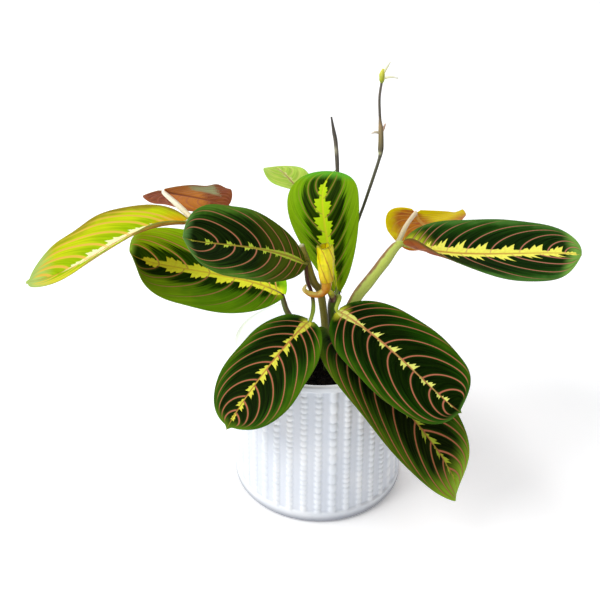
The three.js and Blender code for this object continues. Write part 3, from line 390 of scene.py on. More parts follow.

# Each stem's node and its tubes, which grow as one: the leaf that the tube carries, the colour of one side,
# which is the stem's own reddish colour on some tubes and painted shade on the side turned down on others,
# with the way that side faces and between which values it starts where those aren't the usual ones, a
# second such side of painted shade, the colours from root to end, and the path as x, y, z and radius
STEM_FOOT = 89.4
SIDE_STARTS = (0.05, 0.85)
STEMS = {
    "stem_left": [
        dict(
            name="left_main_stem", tint="#625c1e", facing=(1, 0.3, -0.2),
            colours=((0, "#74701e"), (0.9, "#8a802e"), (0.985, "#988a40"), (1, "#c9c79a")),
            path=((5, -1, STEM_FOOT, 2.4), (5, -1, 106, 2.6), (4, -2, 129, 2.7), (0.5, -2, 156, 2.6),
                  (-4.5, -1, 165, 2.6), (-9, 1.5, 178.5, 2.6), (-13, 5, 190, 2.1))),
        dict(
            name="front_left_stalk", leaf="front_left", tint="#5a6a1c", facing=(-1, 0.2, 0),
            colours=((0, "#4a2c20"), (0.42, "#552e26"), (0.52, "#8fae2c"), (1, "#b8c438")),
            path=((-9, 1.5, 178, 1.4), (-10, -1, 177.5, 1.4), (-9, -4.5, 168, 1.4), (-6.5, -6, 161, 1.4),
                  (-5, -10, 155.5, 1.4), (-5, -17, 151.5, 1.5), (-6.7, -24.4, 148.5, 1.4))),
        dict(
            name="middle_left_stalk", leaf="middle_left", tint="#40401a", facing=(0, 0, -1),
            colours=((0, "#5c5a24"), (1, "#8c8a28")), path=((-9, 1.5, 178.5, 1.7), (-9.9, -8.1, 182.4, 1.3))),
        dict(
            name="far_left_stalk", leaf="far_left", tint="#a87a2c", facing=(0, 0, -1),
            colours=((0, "#6a6a2c"), (0.6, "#a89a50"), (0.85, "#e0b040"), (1, "#d89a24")),
            path=((-9, 1.5, 179.5, 1.8), (-21, 8, 181, 1.8), (-45.5, 14, 188, 1.8), (-70, 20, 193.5, 1.9),
                  (-87, 24, 197, 2), (-93.6, 22.4, 199.6, 1.7))),
        dict(
            name="back_left_stalk", leaf="back_left", tint="#dcbc88", facing=(0.4, 0, -1),
            colours=((0, "#e8d08c"), (0.3, "#fbf4d8"), (1, "#fdf8e4")),
            path=((-85, 23.6, 196.6, 2), (-94, 32, 202, 2), (-103, 38.5, 208, 2),
                  (-111.3, 44.5, 213.1, 1.6))),
    ],
    "stem_right": [
        dict(
            name="right_main_stem", leaf="right", tint="#8c4c34", facing=(-0.85, 0, 0.5),
            narrow=(0.62, 0.95), shade="#3c4410", shade_facing=(0.8, 0, -0.6),
            colours=((0, "#8ca43c"), (0.3, "#ccdc68"), (0.6, "#bccc54"), (0.85, "#98a840"), (1, "#cc9448")),
            path=((14, 2.5, STEM_FOOT, 3.6), (14, 2.5, 107, 3.8), (16, 4, 123, 4.1), (26, 8, 146.5, 4.3),
                  (35.5, 11, 159.5, 4.3), (45.5, 14, 173, 4.2), (53, 15.8, 183.6, 3.4),
                  (58, 16.1, 186.4, 1.9))),
        dict(
            name="back_right_stalk", leaf="back_right", tint="#a8704c", facing=(0.3, 0, -1),
            colours=((0, "#b8b070"), (0.35, "#ecd8b0"), (1, "#f4dcc4")),
            path=((53, 15.8, 183, 2), (57, 22, 188, 1.7), (62, 31, 193.8, 1.6), (69.8, 44.9, 197.2, 1.5))),
    ],
    "stem_middle": [
        dict(
            name="middle_main_stem", leaf="upright", tint="#4a3a28", facing=(-1, -0.2, 0),
            colours=((0, "#4a5e16"), (0.5, "#5c7c1c"), (0.8, "#98b42c"), (1, "#b4d040")),
            path=((9.5, -5.5, STEM_FOOT, 2.2), (9.5, -5.5, 106, 2.3), (10, -2.5, 122, 2.4),
                  (8.5, 4, 136.5, 2.6), (9.5, 8, 145.5, 3.1), (12.2, 11.4, 149.6, 1.6))),
        dict(
            name="front_right_stalk", leaf="front_right", tint="#7c9028", facing=(0, 0, -1),
            colours=((0, "#90a838"), (0.5, "#b8cc3c"), (1, "#ccd84c")),
            path=((10, 7, 146.5, 2), (13.5, -2, 154, 1.5), (13, -8.5, 154.3, 1.5), (11, -14.1, 150.9, 1.2))),
        dict(
            name="young_leaf_sheath", tint="#5c2c2c", facing=(-1, 0, -0.3),
            colours=((0, "#6c3c34"), (0.45, "#8a5a48"), (0.65, "#b8b43c"), (1, "#dce020")),
            path=((9.5, 8, 145.5, 2.4), (9, 1, 152, 2.7), (7.4, -5, 158, 2.2), (5.7, -8, 161.6, 1.4))),
    ],
    "stem_left_leaf": [
        dict(
            name="left_stalk", leaf="left", tint="#6a5438", facing=(0.6, 0, 0.6),
            colours=((0, "#4c5420"), (0.6, "#66702c"), (1, "#a4b03c")),
            path=((-2.5, -2.5, STEM_FOOT, 1.9), (-2.5, -2.5, 106, 2), (-8, -2, 119.5, 2.1),
                  (-17, 0, 130.5, 2.1), (-23.5, 3.5, 139, 2.2), (-27, 7.2, 150.2, 1.7))),
    ],
    "stem_low_leaf": [
        dict(
            name="low_right_stalk", leaf="low_right", tint="#3c421c", facing=(0, 0, -1),
            colours=((0, "#4c5a20"), (1, "#8ea43c")),
            path=((5, -9, STEM_FOOT, 1.7), (5, -9, 106, 1.8), (7.5, -13, 118, 1.9), (10.6, -20.8, 129, 1.8))),
    ],
    "stem_back_leaf": [
        dict(
            name="back_small_stalk", leaf="back_small", tint="#5a4a30", facing=(1, 0, 0),
            colours=((0, "#6a7430"), (0.8, "#8a7c44"), (1, "#8c7838")),
            path=((-2, 6.5, STEM_FOOT, 1.2), (-2, 6.5, 105, 1.3), (3, 10, 119, 1.3), (1.5, 18, 140, 1.3),
                  (2, 28, 159.5, 1.2), (-1, 43, 185, 1.2), (-8.8, 56.2, 208.3, 1.2))),
    ],
    "spike_stalk": [
        dict(
            name="spike", tint="#3c3830", facing=(1, 0, -0.3),
            colours=((0, "#5c5a44"), (0.72, "#5a5248"), (0.745, "#b0a890"), (0.77, "#645c52"),
                     (1, "#4c4844")),
            path=((5, 6, STEM_FOOT, 1.5), (5, 6, 106, 1.5), (6.5, 13, 120, 1.5), (9.5, 23, 137.5, 1.5),
                  (12, 42, 177.5, 1.4), (13, 51, 205, 1.4), (13, 57, 227, 1.4), (11.5, 58, 245.5, 1.5),
                  (10, 58.5, 253.5, 1.3), (8, 59, 264, 0.6))),
    ],
    "flower_stalk": [
        dict(
            name="flower_stem", tint="#38362a", facing=(1, 0, -0.3),
            colours=((0, "#4c5238"), (0.57, "#55523e"), (0.6, "#b4b284"), (0.63, "#5c5438"),
                     (0.69, "#8c7c50"), (0.77, "#a48a60"), (0.84, "#5e564c"), (1, "#6a6458")),
            path=((11, 10, STEM_FOOT, 1.3), (11, 10, 105, 1.3), (12.5, 16, 124, 1.2), (15, 23, 145.5, 1.2),
                  (23.5, 33, 181.5, 1.1), (33, 38.5, 211, 1.1), (41, 42, 238, 1.1), (42, 42.5, 246.5, 1.9),
                  (41.5, 43, 259, 1.8), (40.5, 43, 267, 1), (39.5, 43.8, 281, 0.85), (40.5, 44, 292.5, 0.9))),
        dict(
            name="flower_bud", tint="#7c8424", facing=(0.6, 0, -1),
            colours=((0, "#8ca034"), (0.4, "#b4bc2c"), (1, "#dcd850")),
            path=((40.5, 44, 291, 0.8), (40.5, 44, 293, 1.8), (40.4, 44, 296.5, 1.9), (41, 44, 300, 0.8))),
        dict(
            name="upper_petal", tint="#c8c068", facing=(1, 0, 0), colours=((0, "#dcdc90"), (1, "#f8f8ec")),
            path=((41.2, 44, 297, 0.7), (43.5, 43, 302, 0.8), (45, 42, 305, 0.5))),
        dict(
            name="lower_petal", tint="#c0b878", facing=(0, 0, -1), colours=((0, "#dcdca0"), (1, "#f8f8f0")),
            path=((40.8, 44, 294, 0.7), (46, 42, 295.5, 0.8), (51, 41, 295, 0.5))),
        dict(
            name="side_flower", tint="#a89078", facing=(0, 0, -1), colours=((0, "#b8a878"), (1, "#ece0d0")),
            path=((41.6, 42.8, 257, 0.7), (38, 41.5, 258.5, 0.9), (35, 40.5, 258, 0.5))),
        dict(
            name="bract", tint="#8c6a54", facing=(1, 0, 0), colours=((0, "#b08a70"), (1, "#c8a890")),
            path=((41.6, 43, 257, 0.8), (43, 42.7, 260, 0.9), (44.2, 42.4, 264, 0.5))),
    ],
}
# Where a stalk runs on into its leaf's midrib, as shares of the leaf's length, its radii there, and how far
# below the blade's middle it lies: the depth and its radius, times the sink
JOINT_SHARES = (0.012, 0.05, 0.1)
JOINT_RADII = (1.05, 0.8, 0.45)
JOINT_DEPTH = 0.3
JOINT_SINK = 0.75
TUBE_SIDES = 20
TUBE_STEP = 0.9
TUBE_GROOVES = 7
TUBE_GROOVE_DEPTH = 0.035
CAP_RINGS = 4
CAP_LENGTH = 0.6
STEM_WOBBLE = 0.05
HOOK_WOBBLE = 0.08
# The heights in metres between which the painted shade on a stem's foot, down in the pot, gives way to the
# stem's colours
STEM_FOOT_SHADE = (0.094, 0.122)

# The young leaf, rolled up, and its hooked end
ROLL_PATH = ((2, -10, 197, 5.6), (2.6, -10.5, 190, 6.2), (3, -10.5, 181, 6.1), (3.8, -10.5, 171, 5))
ROLL_TURNS = 1.15
ROLL_TIGHTEN = 0.34
ROLL_SHEET = 0.56
ROLL_POINTS = 90
ROLL_RINGS = 60
ROLL_PLEATS = 9
PLEAT_DEPTH = 0.035
HOOK_PATH = ((3.4, -10.5, 178, 3.4), (4.2, -10.5, 169, 3.6), (3.2, -10.5, 163.5, 2.8),
             (-1, -10.8, 160.4, 2.2), (-6.5, -11, 160.8, 1.9), (-11, -11, 164, 1.5),
             (-10, -10.6, 167.5, 0.8))
# Colours along the hook from root to end; its pale end is a painted highlight.
HOOK_COLOURS = ((0, "#e0b00c"), (0.4, "#d07c10"), (0.6, "#d88a1c"), (0.8, "#ecc850"), (1, "#f8f0c0"))

random = np.random.default_rng(7)


def linear(colour):
    """A hex colour as linear red, green, blue and alpha."""
    shares = [int(colour[k:k + 2], 16) / 255 for k in (1, 3, 5)]
    return tuple(c / 12.92 if c <= 0.04045 else ((c + 0.055) / 1.055) ** 2.4 for c in shares) + (1.0,)


def unit(vectors):
    return vectors / np.linalg.norm(vectors, axis=-1, keepdims=True)


def smoothstep(x, low, high):
    share = np.clip((x - low) / (high - low), 0, 1)
    return share * share * (3 - 2 * share)


def points_of(pairs, x):
    """The value at x on the straight lines between pairs of place and value."""
    return np.interp(x, [p[0] for p in pairs], [p[1] for p in pairs])


# Meshes

def new_mesh(name, points, faces, material):
    mesh = bpy.data.meshes.new(name)
    mesh.from_pydata(points, [], faces)
    mesh.polygons.foreach_set("use_smooth", np.ones(len(faces), bool))
    mesh.materials.append(material)
    return mesh


def placed(name, data):
    """A new object of the scene that shows a mesh, a light or a camera."""
    thing = bpy.data.objects.new(name, data)
    bpy.context.scene.collection.objects.link(thing)
    return thing


def new_piece(name, points, faces, material, nodes, attributes=None):
    """A smooth mesh in metres from points in millimetres, which rides on the plant and replaces nodes."""
    points = np.asarray(points, float)
    triangles = np.array([t for f in faces for t in ((f[0], f[k], f[k + 1]) for k in range(1, len(f) - 1))])
    a, b, c = (points[triangles[:, k]] for k in range(3))
    if np.einsum("ij,ij->i", a, np.cross(b, c)).sum() < 0:
        faces = [tuple(reversed(face)) for face in faces]
    mesh = new_mesh(name, (points * MM).tolist(), [tuple(map(int, face)) for face in faces], material)
    for key, values in (attributes or {}).items():
        values = np.ravel(values).astype(np.float32)
        mesh.attributes.new(key, "FLOAT", "POINT").data.foreach_set("value", values)
    mesh.update()
    piece = placed(name, mesh)
    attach(piece, "root")
    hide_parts(*nodes)
    return piece


def grid_faces(rows, columns, start=0, closed=False):
    """The quads of a grid of points, row by row, whose last column may meet the first."""
    i, j = np.meshgrid(np.arange(rows - 1), np.arange(columns if closed else columns - 1), indexing="ij")
    k = (j + 1) % columns
    quads = np.stack([i * columns + j, i * columns + k, (i + 1) * columns + k, (i + 1) * columns + j], -1)
    return [tuple(q) for q in (quads.reshape(-1, 4) + start).tolist()]


def closed_faces(rows, columns, start=0):
    """The faces of rings of points, one after the other, with a flat face at each end."""
    first = range(start, start + columns)
    last = range(start + (rows - 1) * columns, start + rows * columns)
    return grid_faces(rows, columns, start, closed=True) + [tuple(reversed(first)), tuple(last)]


# Shader nodes

class Value:
    """A number, vector or colour inside a material, which can be added, multiplied and so on."""

    def __init__(self, nodes, socket):
        self.nodes = nodes
        self.socket = socket

    def __add__(self, other):
        return self.nodes.math("ADD", self, other)

    def __sub__(self, other):
        return self.nodes.math("SUBTRACT", self, other)

    def __rsub__(self, other):
        return self.nodes.math("SUBTRACT", other, self)

    def __mul__(self, other):
        return self.nodes.math("MULTIPLY", self, other)

    def __truediv__(self, other):
        return self.nodes.math("DIVIDE", self, other)

    def __abs__(self):
        return self.nodes.math("ABSOLUTE", self)


class Nodes:
    """Short calls that add and link the nodes of one material."""

    def __init__(self, name):
        self.material = bpy.data.materials.new(name)
        self.material.use_nodes = True
        self.tree = self.material.node_tree
        self.shader = self.tree.nodes["Principled BSDF"]

    def link(self, value, socket):
        """Feed a socket with a value of the material, or set it to a number, vector or hex colour."""
        if isinstance(value, Value):
            self.tree.links.new(value.socket, socket)
        else:
            socket.default_value = linear(value) if isinstance(value, str) else value

    def node(self, kind, inputs=(), output=0, **settings):
        """Add a node with its inputs by place or by name, and give one of its outputs."""
        node = self.tree.nodes.new(kind)
        for key, value in settings.items():
            setattr(node, key, value)
        for key, value in inputs.items() if isinstance(inputs, dict) else enumerate(inputs):
            self.link(value, node.inputs[key])
        return Value(self, node.outputs[output])

    def math(self, operation, first, second=0.0, clamp=False):
        return self.node("ShaderNodeMath", (first, second), operation=operation, use_clamp=clamp)

    def attribute(self, name):
        return self.node("ShaderNodeAttribute", output="Fac", attribute_name=name)

    def place(self):
        return self.node("ShaderNodeTexCoord", output="Object")

    def coordinate(self, axis):
        return self.node("ShaderNodeSeparateXYZ", (self.place(),), axis)

    def facing(self, way):
        """How far the surface faces a way, from -1 to 1."""
        normal = self.node("ShaderNodeTexCoord", output="Normal")
        way = tuple(unit(np.array(way, float)))
        return self.node("ShaderNodeVectorMath", (normal, way), "Value", operation="DOT_PRODUCT")

    def ramp(self, value, low, high, start=0.0, end=1.0):
        """A smooth step from start at low to end at high."""
        inputs = (value, low, high, start, end)
        return self.node("ShaderNodeMapRange", inputs, interpolation_type="SMOOTHSTEP")

    def vector(self, x, y, z=0.0):
        return self.node("ShaderNodeCombineXYZ", (x, y, z))

    def noise(self, place, scale, detail=2.0):
        return self.node("ShaderNodeTexNoise", {"Vector": place, "Scale": scale, "Detail": detail}, "Fac")

    def random(self, number):
        return self.node("ShaderNodeTexWhiteNoise", {"W": number}, "Value", noise_dimensions="1D")

    def mix(self, share, first, second):
        return self.node("ShaderNodeMix", {"Factor": share, 6: first, 7: second}, 2, data_type="RGBA")

    def blend(self, first, second, value, low, high, start=0.0, end=1.0):
        """A colour that turns into a second one while a value goes from low to high."""
        return self.mix(self.ramp(value, low, high, start, end), first, second)

    def scale(self, colour, factor):
        return self.node("ShaderNodeVectorMath", {0: colour, "Scale": factor}, operation="SCALE")

    def stops(self, value, pairs):
        """Hex colours or heights blended along a value, as pairs of place and colour or height."""
        node = self.tree.nodes.new("ShaderNodeValToRGB")
        elements = node.color_ramp.elements
        while len(elements) < len(pairs):
            elements.new(0.5)
        for element, (place, shade) in zip(elements, pairs):
            element.position = place
            element.color = linear(shade) if isinstance(shade, str) else (shade, shade, shade, 1)
        self.link(value, node.inputs["Fac"])
        return Value(self, node.outputs["Color"])

    def bump(self, height, strength, distance):
        inputs = {"Strength": strength, "Distance": distance, "Height": height}
        self.link(self.node("ShaderNodeBump", inputs, "Normal"), self.shader.inputs["Normal"])

    def glow(self, colour, strength):
        self.link(colour, self.shader.inputs["Emission Color"])
        self.link(strength, self.shader.inputs["Emission Strength"])

    def finish(self, colour, roughness, specular=0.5, coat=0.0):
        self.link(colour, self.shader.inputs["Base Color"])
        self.link(roughness, self.shader.inputs["Roughness"])
        self.shader.inputs["Specular IOR Level"].default_value = specular
        self.shader.inputs["Coat Weight"].default_value = coat
        return self.material


# Leaf blades

def blade_profile(u, leaf):
    """Half width along a blade, as a share of its widest: round at the base, with a small pointed tip."""
    along = np.minimum(u / ROUND_PART, 1) ** (np.log(0.5) / np.log(leaf["widest"]))
    body = np.maximum(1 - np.abs(2 * along - 1) ** ROUND_POWER, 0) ** FULL_POWER
    point = leaf["tip"] * np.minimum((1 - u) / TIP_REACH, 1)
    point = np.where(u < 0.5, np.minimum(point, BASE_SHARE), point)
    blend = np.sqrt((body - point) ** 2 + TIP_BLEND ** 2)
    return 0.5 * (body + point + blend) - 0.5 * TIP_BLEND * u ** TIP_CLOSE_POWER


def half_width(u, leaf):
    return np.maximum(leaf["half_width"] * blade_profile(u, leaf), TIP_HALF_WIDTH)


def blade_points(leaf, u, v):
    """Points on the middle of a blade: u runs from base to tip, v from the left margin to the right."""
    p0, p1, p2, p3 = (np.array(p, float) for p in leaf["midrib"])
    t = u[..., None]
    midrib = (1 - t) ** 3 * p0 + 3 * (1 - t) ** 2 * t * p1 + 3 * (1 - t) * t ** 2 * p2 + t ** 3 * p3
    along = unit((1 - t) ** 2 * (p1 - p0) + 2 * (1 - t) * t * (p2 - p1) + t ** 2 * (p3 - p2))
    base_face, tip_face = (unit(np.array(face, float)) for face in leaf["faces"])
    up = base_face * (1 - t) + tip_face * t
    up = unit(up - (up * along).sum(-1, keepdims=True) * along)
    right = np.cross(along, up)
    side, out = np.sign(v), np.abs(v)
    bend = u ** FOLD_POWER
    folds = [start + (end - start) * bend for start, end in (leaf["fold_left"], leaf["fold_right"])]
    angle = np.radians(np.where(v < 0, *folds))
    base_curl = np.where(v < 0, *leaf["curl_base"]) * (1 - u) ** BASE_CURL_POWER
    curl = np.radians(leaf["curl"] + base_curl) + FLAT_CURL
    width = half_width(u, leaf)
    sideways = width * (np.sin(angle + curl * out) - np.sin(angle)) / curl
    swell = np.sin(2 * np.pi * leaf["waves"] * u + side) * np.sin(np.pi * u)
    wave = leaf["wave"] * out ** WAVE_POWER * swell
    rise = width * (np.cos(angle) - np.cos(angle + curl * out)) / curl + wave
    notch = leaf["notch"] * (1 - u) ** NOTCH_POWER * out * out
    return midrib + right * (side * sideways)[..., None] + up * rise[..., None] - along * notch[..., None]


def vein_number(veins, u, v):
    """A number that is whole on every side vein and grows from vein to vein towards the tip."""
    out = np.abs(v)
    spread = -np.log(1 - (VEIN_ROOM * out) ** 2)
    number = np.zeros_like(u)
    for side, table in enumerate((veins["left"], veins["right"])):
        places = [start + veins["lean"][side] * out + sweep * spread for start, sweep in table]
        for k in range(1, len(places)):
            places[k] = np.maximum(places[k], places[k - 1] + VEIN_STEP)
        values = (u - places[0]) / (places[1] - places[0])
        for k in range(1, len(places)):
            back = places[k - 1]
            values = np.where(u > back, k - 1 + (u - back) / (places[k] - back), values)
        number = np.where((v < 0) == (side == 0), values, number)
    return number


def blade_grid(leaf, rows, columns):
    """The u and v of a grid of points on a blade."""
    even = np.linspace(0, 1, rows)
    crowded = 0.5 - 0.5 * np.cos(np.pi * even)
    along = leaf["end"] * ((1 - ROW_CROWDING) * even + ROW_CROWDING * crowded)
    return np.meshgrid(along, np.linspace(-1, 1, columns), indexing="ij")


def vein_gaps(number, middle):
    """The distance in millimetres from one side vein to the next, at each point of a blade."""
    steps = [np.maximum(np.linalg.norm(np.gradient(middle, axis=k), axis=-1), 1e-6) for k in (0, 1)]
    slope = np.hypot(*(np.gradient(number, axis=k) / steps[k] for k in (0, 1)))
    return 1 / np.maximum(slope, 1e-3)


def vein_clearness(veins, number, gap, v):
    """How clear the side veins are, from 0 to 1: they end before the first, after the last and in a crowd."""
    last = np.where(v < 0, len(veins["left"]) - 1, len(veins["right"]) - 1)
    clear = smoothstep(number, *FIRST_VEIN_ENDS) * (1 - smoothstep(number - last, *LAST_VEIN_ENDS))
    return clear * smoothstep(gap, *CROWDED_GAPS)


def blade_relief(u, v, number, gap, clear, from_rib):
    """The height of the upper face: a sunk midrib and sunk side veins, puffed up between them."""
    share = number - np.floor(number)
    from_vein = np.minimum(share, 1 - share) * np.minimum(gap, WIDEST_GAP)
    calm = (1 - smoothstep(np.abs(v), *RELIEF_ENDS)) * clear
    groove = (1 - smoothstep(from_vein, 0, VEIN_RELIEF_WIDTH)) * calm * smoothstep(from_rib, 0.5, 2)
    puff = np.sin(np.pi * share) ** 2 * np.minimum(gap / PUFF_GAP, 1) * calm * smoothstep(from_rib, 0, 6)
    rib = (1 - smoothstep(from_rib, 0, RIB_RELIEF_WIDTH)) * (1 - smoothstep(u, 0.8, 1))
    return PUFF * puff - VEIN_DEPTH * groove - RIB_DEPTH * rib


def blade_faces(rows, columns):
    """The faces of an upper grid of points, of the lower grid behind it and of the edge between them."""
    count = rows * columns
    upper = grid_faces(rows, columns)
    lower = [tuple(reversed(face)) for face in grid_faces(rows, columns, start=count)]
    index = np.arange(count).reshape(rows, columns)
    ring = np.concatenate([index[0], index[1:, -1], index[-1, -2::-1], index[-2:0:-1, 0]]).tolist()
    wall = [(a, a + count, b + count, b) for a, b in zip(ring, ring[1:] + ring[:1])]
    return upper + lower + wall


def leaf_piece(name):
    """One leaf: a fine blade with sunk veins above, raised ones below and a thin margin."""
    leaf, veins = LEAVES[name], VEINS[name]
    rows, columns = BLADE_GRIDS.get(name, BLADE_GRID)
    u, v = blade_grid(leaf, rows, columns)
    middle = blade_points(leaf, u, v)
    normals = unit(np.cross(np.gradient(middle, axis=1), np.gradient(middle, axis=0)))
    width = half_width(u, leaf)
    from_rib = np.abs(v) * width
    number = vein_number(veins, u, v)
    gap = vein_gaps(number, middle)
    clear = vein_clearness(veins, number, gap, v)
    relief = blade_relief(u, v, number, gap, clear, from_rib)
    thickness = BLADE_EDGE + (BLADE_MIDDLE - BLADE_EDGE) * (1 - smoothstep(np.abs(v), 0.2, 1))
    under_rib = UNDER_RIB * (1 - smoothstep(from_rib, 0, UNDER_RIB_WIDTH)) * (1 - smoothstep(u, 0.1, 0.95))
    top = middle + normals * (relief + 0.5 * thickness)[..., None]
    low = middle + normals * (relief - 0.5 * thickness - under_rib)[..., None]
    far = np.abs(v) + TIP_FADE * np.maximum(u - TIP_FADE_START, 0)
    band = points_of(veins["band"], u) * width * np.where(v < 0, *veins["sides"])
    values = {
        "leaf_u": u, "leaf_v": v, "vein": number, "gap": np.minimum(gap, WIDEST_GAP),
        "fade": clear * (1 - smoothstep(far, *veins["fade"])), "from_rib": from_rib, "band": band,
        "band_floor": points_of(veins["floor"], u) * band,
        "tooth": vein_number(veins, u, v * veins["square"]),
    }
    attributes = {key: np.tile(np.ravel(value), 2) for key, value in values.items()}
    attributes["under"] = np.repeat([0.0, 1.0], rows * columns)
    points = np.concatenate([top.reshape(-1, 3), low.reshape(-1, 3)])
    new_piece(f"blade_{name}", points, blade_faces(rows, columns), leaf_material(name), [f"leaf_{name}"],
              attributes)


class LeafNodes(Nodes):
    """The nodes of a leaf's material, with the values that more than one part of it uses."""

    def __init__(self, name):
        super().__init__(f"leaf_{name}")
        self.u, self.v = self.attribute("leaf_u"), self.attribute("leaf_v")
        self.from_rib, self.fade = self.attribute("from_rib"), self.attribute("fade")
        self.out, self.side = abs(self.v), self.math("SIGN", self.v)
        vein = self.attribute("vein")
        share = self.math("FRACT", vein)
        self.near = self.math("MINIMUM", share, 1 - share)
        self.from_vein = self.near * self.attribute("gap")
        self.chance = self.random(self.math("FLOOR", vein) + self.side * 31.7)
        self.flat = self.vector(self.u * 110, self.side * self.from_rib)
        self.rough = self.noise(self.flat, 0.55, 3)
        self.patches = self.noise(self.flat, 0.09)
        self.streaks = self.noise(self.vector(vein * 6, self.out * 1.4, self.side), 1.6, 3)
        self.spread = self.out + (self.patches - 0.5) * 0.3

    def halves(self, left, right):
        """One value on the left half of the leaf and another on the right."""
        return self.ramp(self.side, -1, 1, left, right)


def leaf_greens(n, look):
    """The dark between the veins, which reaches furthest midway, and the greens around it."""
    light = n.blend(look["mid"], look["margin"], n.spread, *look["rim"])
    light = n.blend(light, look["fresh"], n.u + (n.patches - 0.5) * 0.4, *look["fresh_reach"])
    reach = n.out + (n.streaks - 0.5) * 0.45 + (0.3 - n.near) * 0.3 + (n.chance - 0.5) * 0.14
    colour = n.blend(look["dark"], light, reach, *look["dark_reach"])
    colour = n.blend(colour, look["tip"], n.u + n.out * 0.05, *look["tip_reach"])
    base = n.u * look["base_reach"] + n.out * look["base_out"] + (n.streaks - 0.5) * 0.5
    colour = n.blend(colour, look["base"], base, 0.5, 1.35, 0.95, 0)
    dim = n.mix(0.3, colour, "#000000")
    return n.blend(dim, n.mix(0.1, colour, look["margin"]), n.streaks, 0.25, 0.75)


def side_vein(n, look):
    """How much of the side vein's line is at a place: it is widest at the midrib."""
    half = n.ramp(n.out, 0, 1, look["line"], 0.6 * look["line"])
    return n.ramp(n.from_vein - half, -0.28, 0.28, 1, 0) * n.fade


def lime_band(n, look, veins):
    """How much of the lime band is at a place: one lobed tooth behind each vein, highest at its far end."""
    starts, ends = zip(*veins["teeth"])
    start, end = n.halves(*starts), n.halves(*ends)
    along = n.math("DIVIDE", n.math("FRACT", n.attribute("tooth")) - start, end - start, clamp=True)
    along = along + (n.rough - 0.5) * (0.05 * look["ragged"])
    tooth = n.stops(along, veins["tooth"]) * (n.chance * 0.45 + 0.7)
    reach = n.math("MAXIMUM", n.attribute("band") * tooth, n.attribute("band_floor"))
    reach = reach + (n.rough - 0.5) * look["ragged"] * n.ramp(reach, 0.3, 3)
    return n.ramp(reach - n.from_rib, -0.15, 0.6)


def upper_face(n, look, veins):
    colour = leaf_greens(n, look)
    line = side_vein(n, look)
    colour = n.mix(n.ramp(n.from_vein, 0.5, 2, 0.4, 0) * n.fade, colour, look["mid"])
    colour = n.mix(line * look["vein_strength"], colour, look["vein"])
    # Painted light: each half is brightened by its own factor, as if one half caught more light.
    colour = n.scale(colour, n.halves(*look["painted_half_light"]))
    band = lime_band(n, look, veins)
    lime = n.blend(look["band"], n.mix(0.3, look["band"], look["rib"]), n.rough, 0.35, 0.8)
    colour = n.mix(band, colour, lime)
    colour = n.mix(line * band * 0.6, colour, look["vein"])
    rib = n.ramp(n.from_rib - n.ramp(n.u, 0, 1, look["rib_width"], 0.3), -0.35, 0.35, 0.9, 0)
    return n.mix(rib * n.ramp(n.u, 0.88, 0.97, 1, 0.2), colour, look["rib"])


def lower_face(n, under):
    colour = n.blend(under["plain"], under["patch"], n.patches, 0.42, 0.62)
    if "across" in under:
        start, length = under["span"]
        across = (n.coordinate("X") - start) / length + n.rough * 0.12 - 0.06
        colour = n.mix(0.8, colour, n.stops(across, under["across"]))
        pale = n.ramp(n.v, 0.35, 0.5) * n.ramp(across, 0.5, 0.55) * n.ramp(across, 0.68, 0.74, 0.9, 0)
        colour = n.mix(pale, colour, under["pale"])
    starts, ends = zip(*under["edge"])
    edge = n.ramp(n.spread, n.halves(*starts), n.halves(*ends)) * n.ramp(n.u, *under["edge_end"], 1, 0)
    colour = n.mix(edge, colour, under["margin"])
    colour = n.mix(n.ramp(n.from_vein, 0.2, 0.9, 0.6, 0) * n.fade, colour, under["vein"])
    colour = n.blend(colour, under["rib"], n.from_rib, 0.8, 1.7, 0.95, 0)
    return n.mix(n.math("MULTIPLY", n.streaks - 0.35, 0.5, clamp=True), colour, under["margin"])


def leaf_material(name):
    """The patterned upper face and the plain reddish lower face of one leaf."""
    n = LeafNodes(name)
    upper = upper_face(n, LOOKS[name], VEINS[name])
    colour = n.blend(upper, lower_face(n, UNDERSIDES[name]), n.attribute("under"), 0.3, 0.7)
    grain = n.noise(n.flat, 2.4, 4)
    n.bump(grain * 0.5 + n.streaks * 0.5, 0.35, 0.0006)
    return n.finish(colour, n.ramp(grain, 0.3, 0.7, 0.42, 0.55), specular=0.015)


def make_leaves():
    for name in LEAVES:
        leaf_piece(name)


# Stems, stalks and the young leaf

def curve_points(path, shares):
    """Points and tangents of the smooth curve through a path, which runs evenly from point to point."""
    knots = np.array([p[:3] for p in path], float)
    knots = np.vstack([2 * knots[0] - knots[1], knots, 2 * knots[-1] - knots[-2]])
    place = np.clip(shares * (len(path) - 1), 0, len(path) - 1)
    k = np.minimum(place.astype(int), len(path) - 2)
    t = (place - k)[:, None]
    a, b, c, d = (knots[k + n] for n in range(4))
    slope_b, slope_c = 0.5 * (c - a), 0.5 * (d - b)
    cubic = 2 * b - 2 * c + slope_b + slope_c
    square = -3 * b + 3 * c - 2 * slope_b - slope_c
    points = cubic * t ** 3 + square * t ** 2 + slope_b * t + b
    tangents = 3 * cubic * t ** 2 + 2 * square * t + slope_b
    return points, unit(tangents)


def path_radii(path, shares):
    return np.interp(shares * (len(path) - 1), np.arange(len(path)), [p[3] for p in path])


def path_length(path):
    points, _ = curve_points(path, np.linspace(0, 1, 12 * len(path)))
    return np.linalg.norm(np.diff(points, axis=0), axis=1).sum()


def around_curve(centres, tangents, turns, radii):
    """Rings of points around the centres of a curve, which twist as little as they can."""
    across = np.array([1.0, 0.0, 0.0])
    rings = []
    for centre, along, reach in zip(centres, tangents, radii):
        across = unit(across - across.dot(along) * along)
        ways = np.outer(np.cos(turns), across) + np.outer(np.sin(turns), np.cross(along, across))
        rings.append(centre + reach[:, None] * ways)
    return np.array(rings)


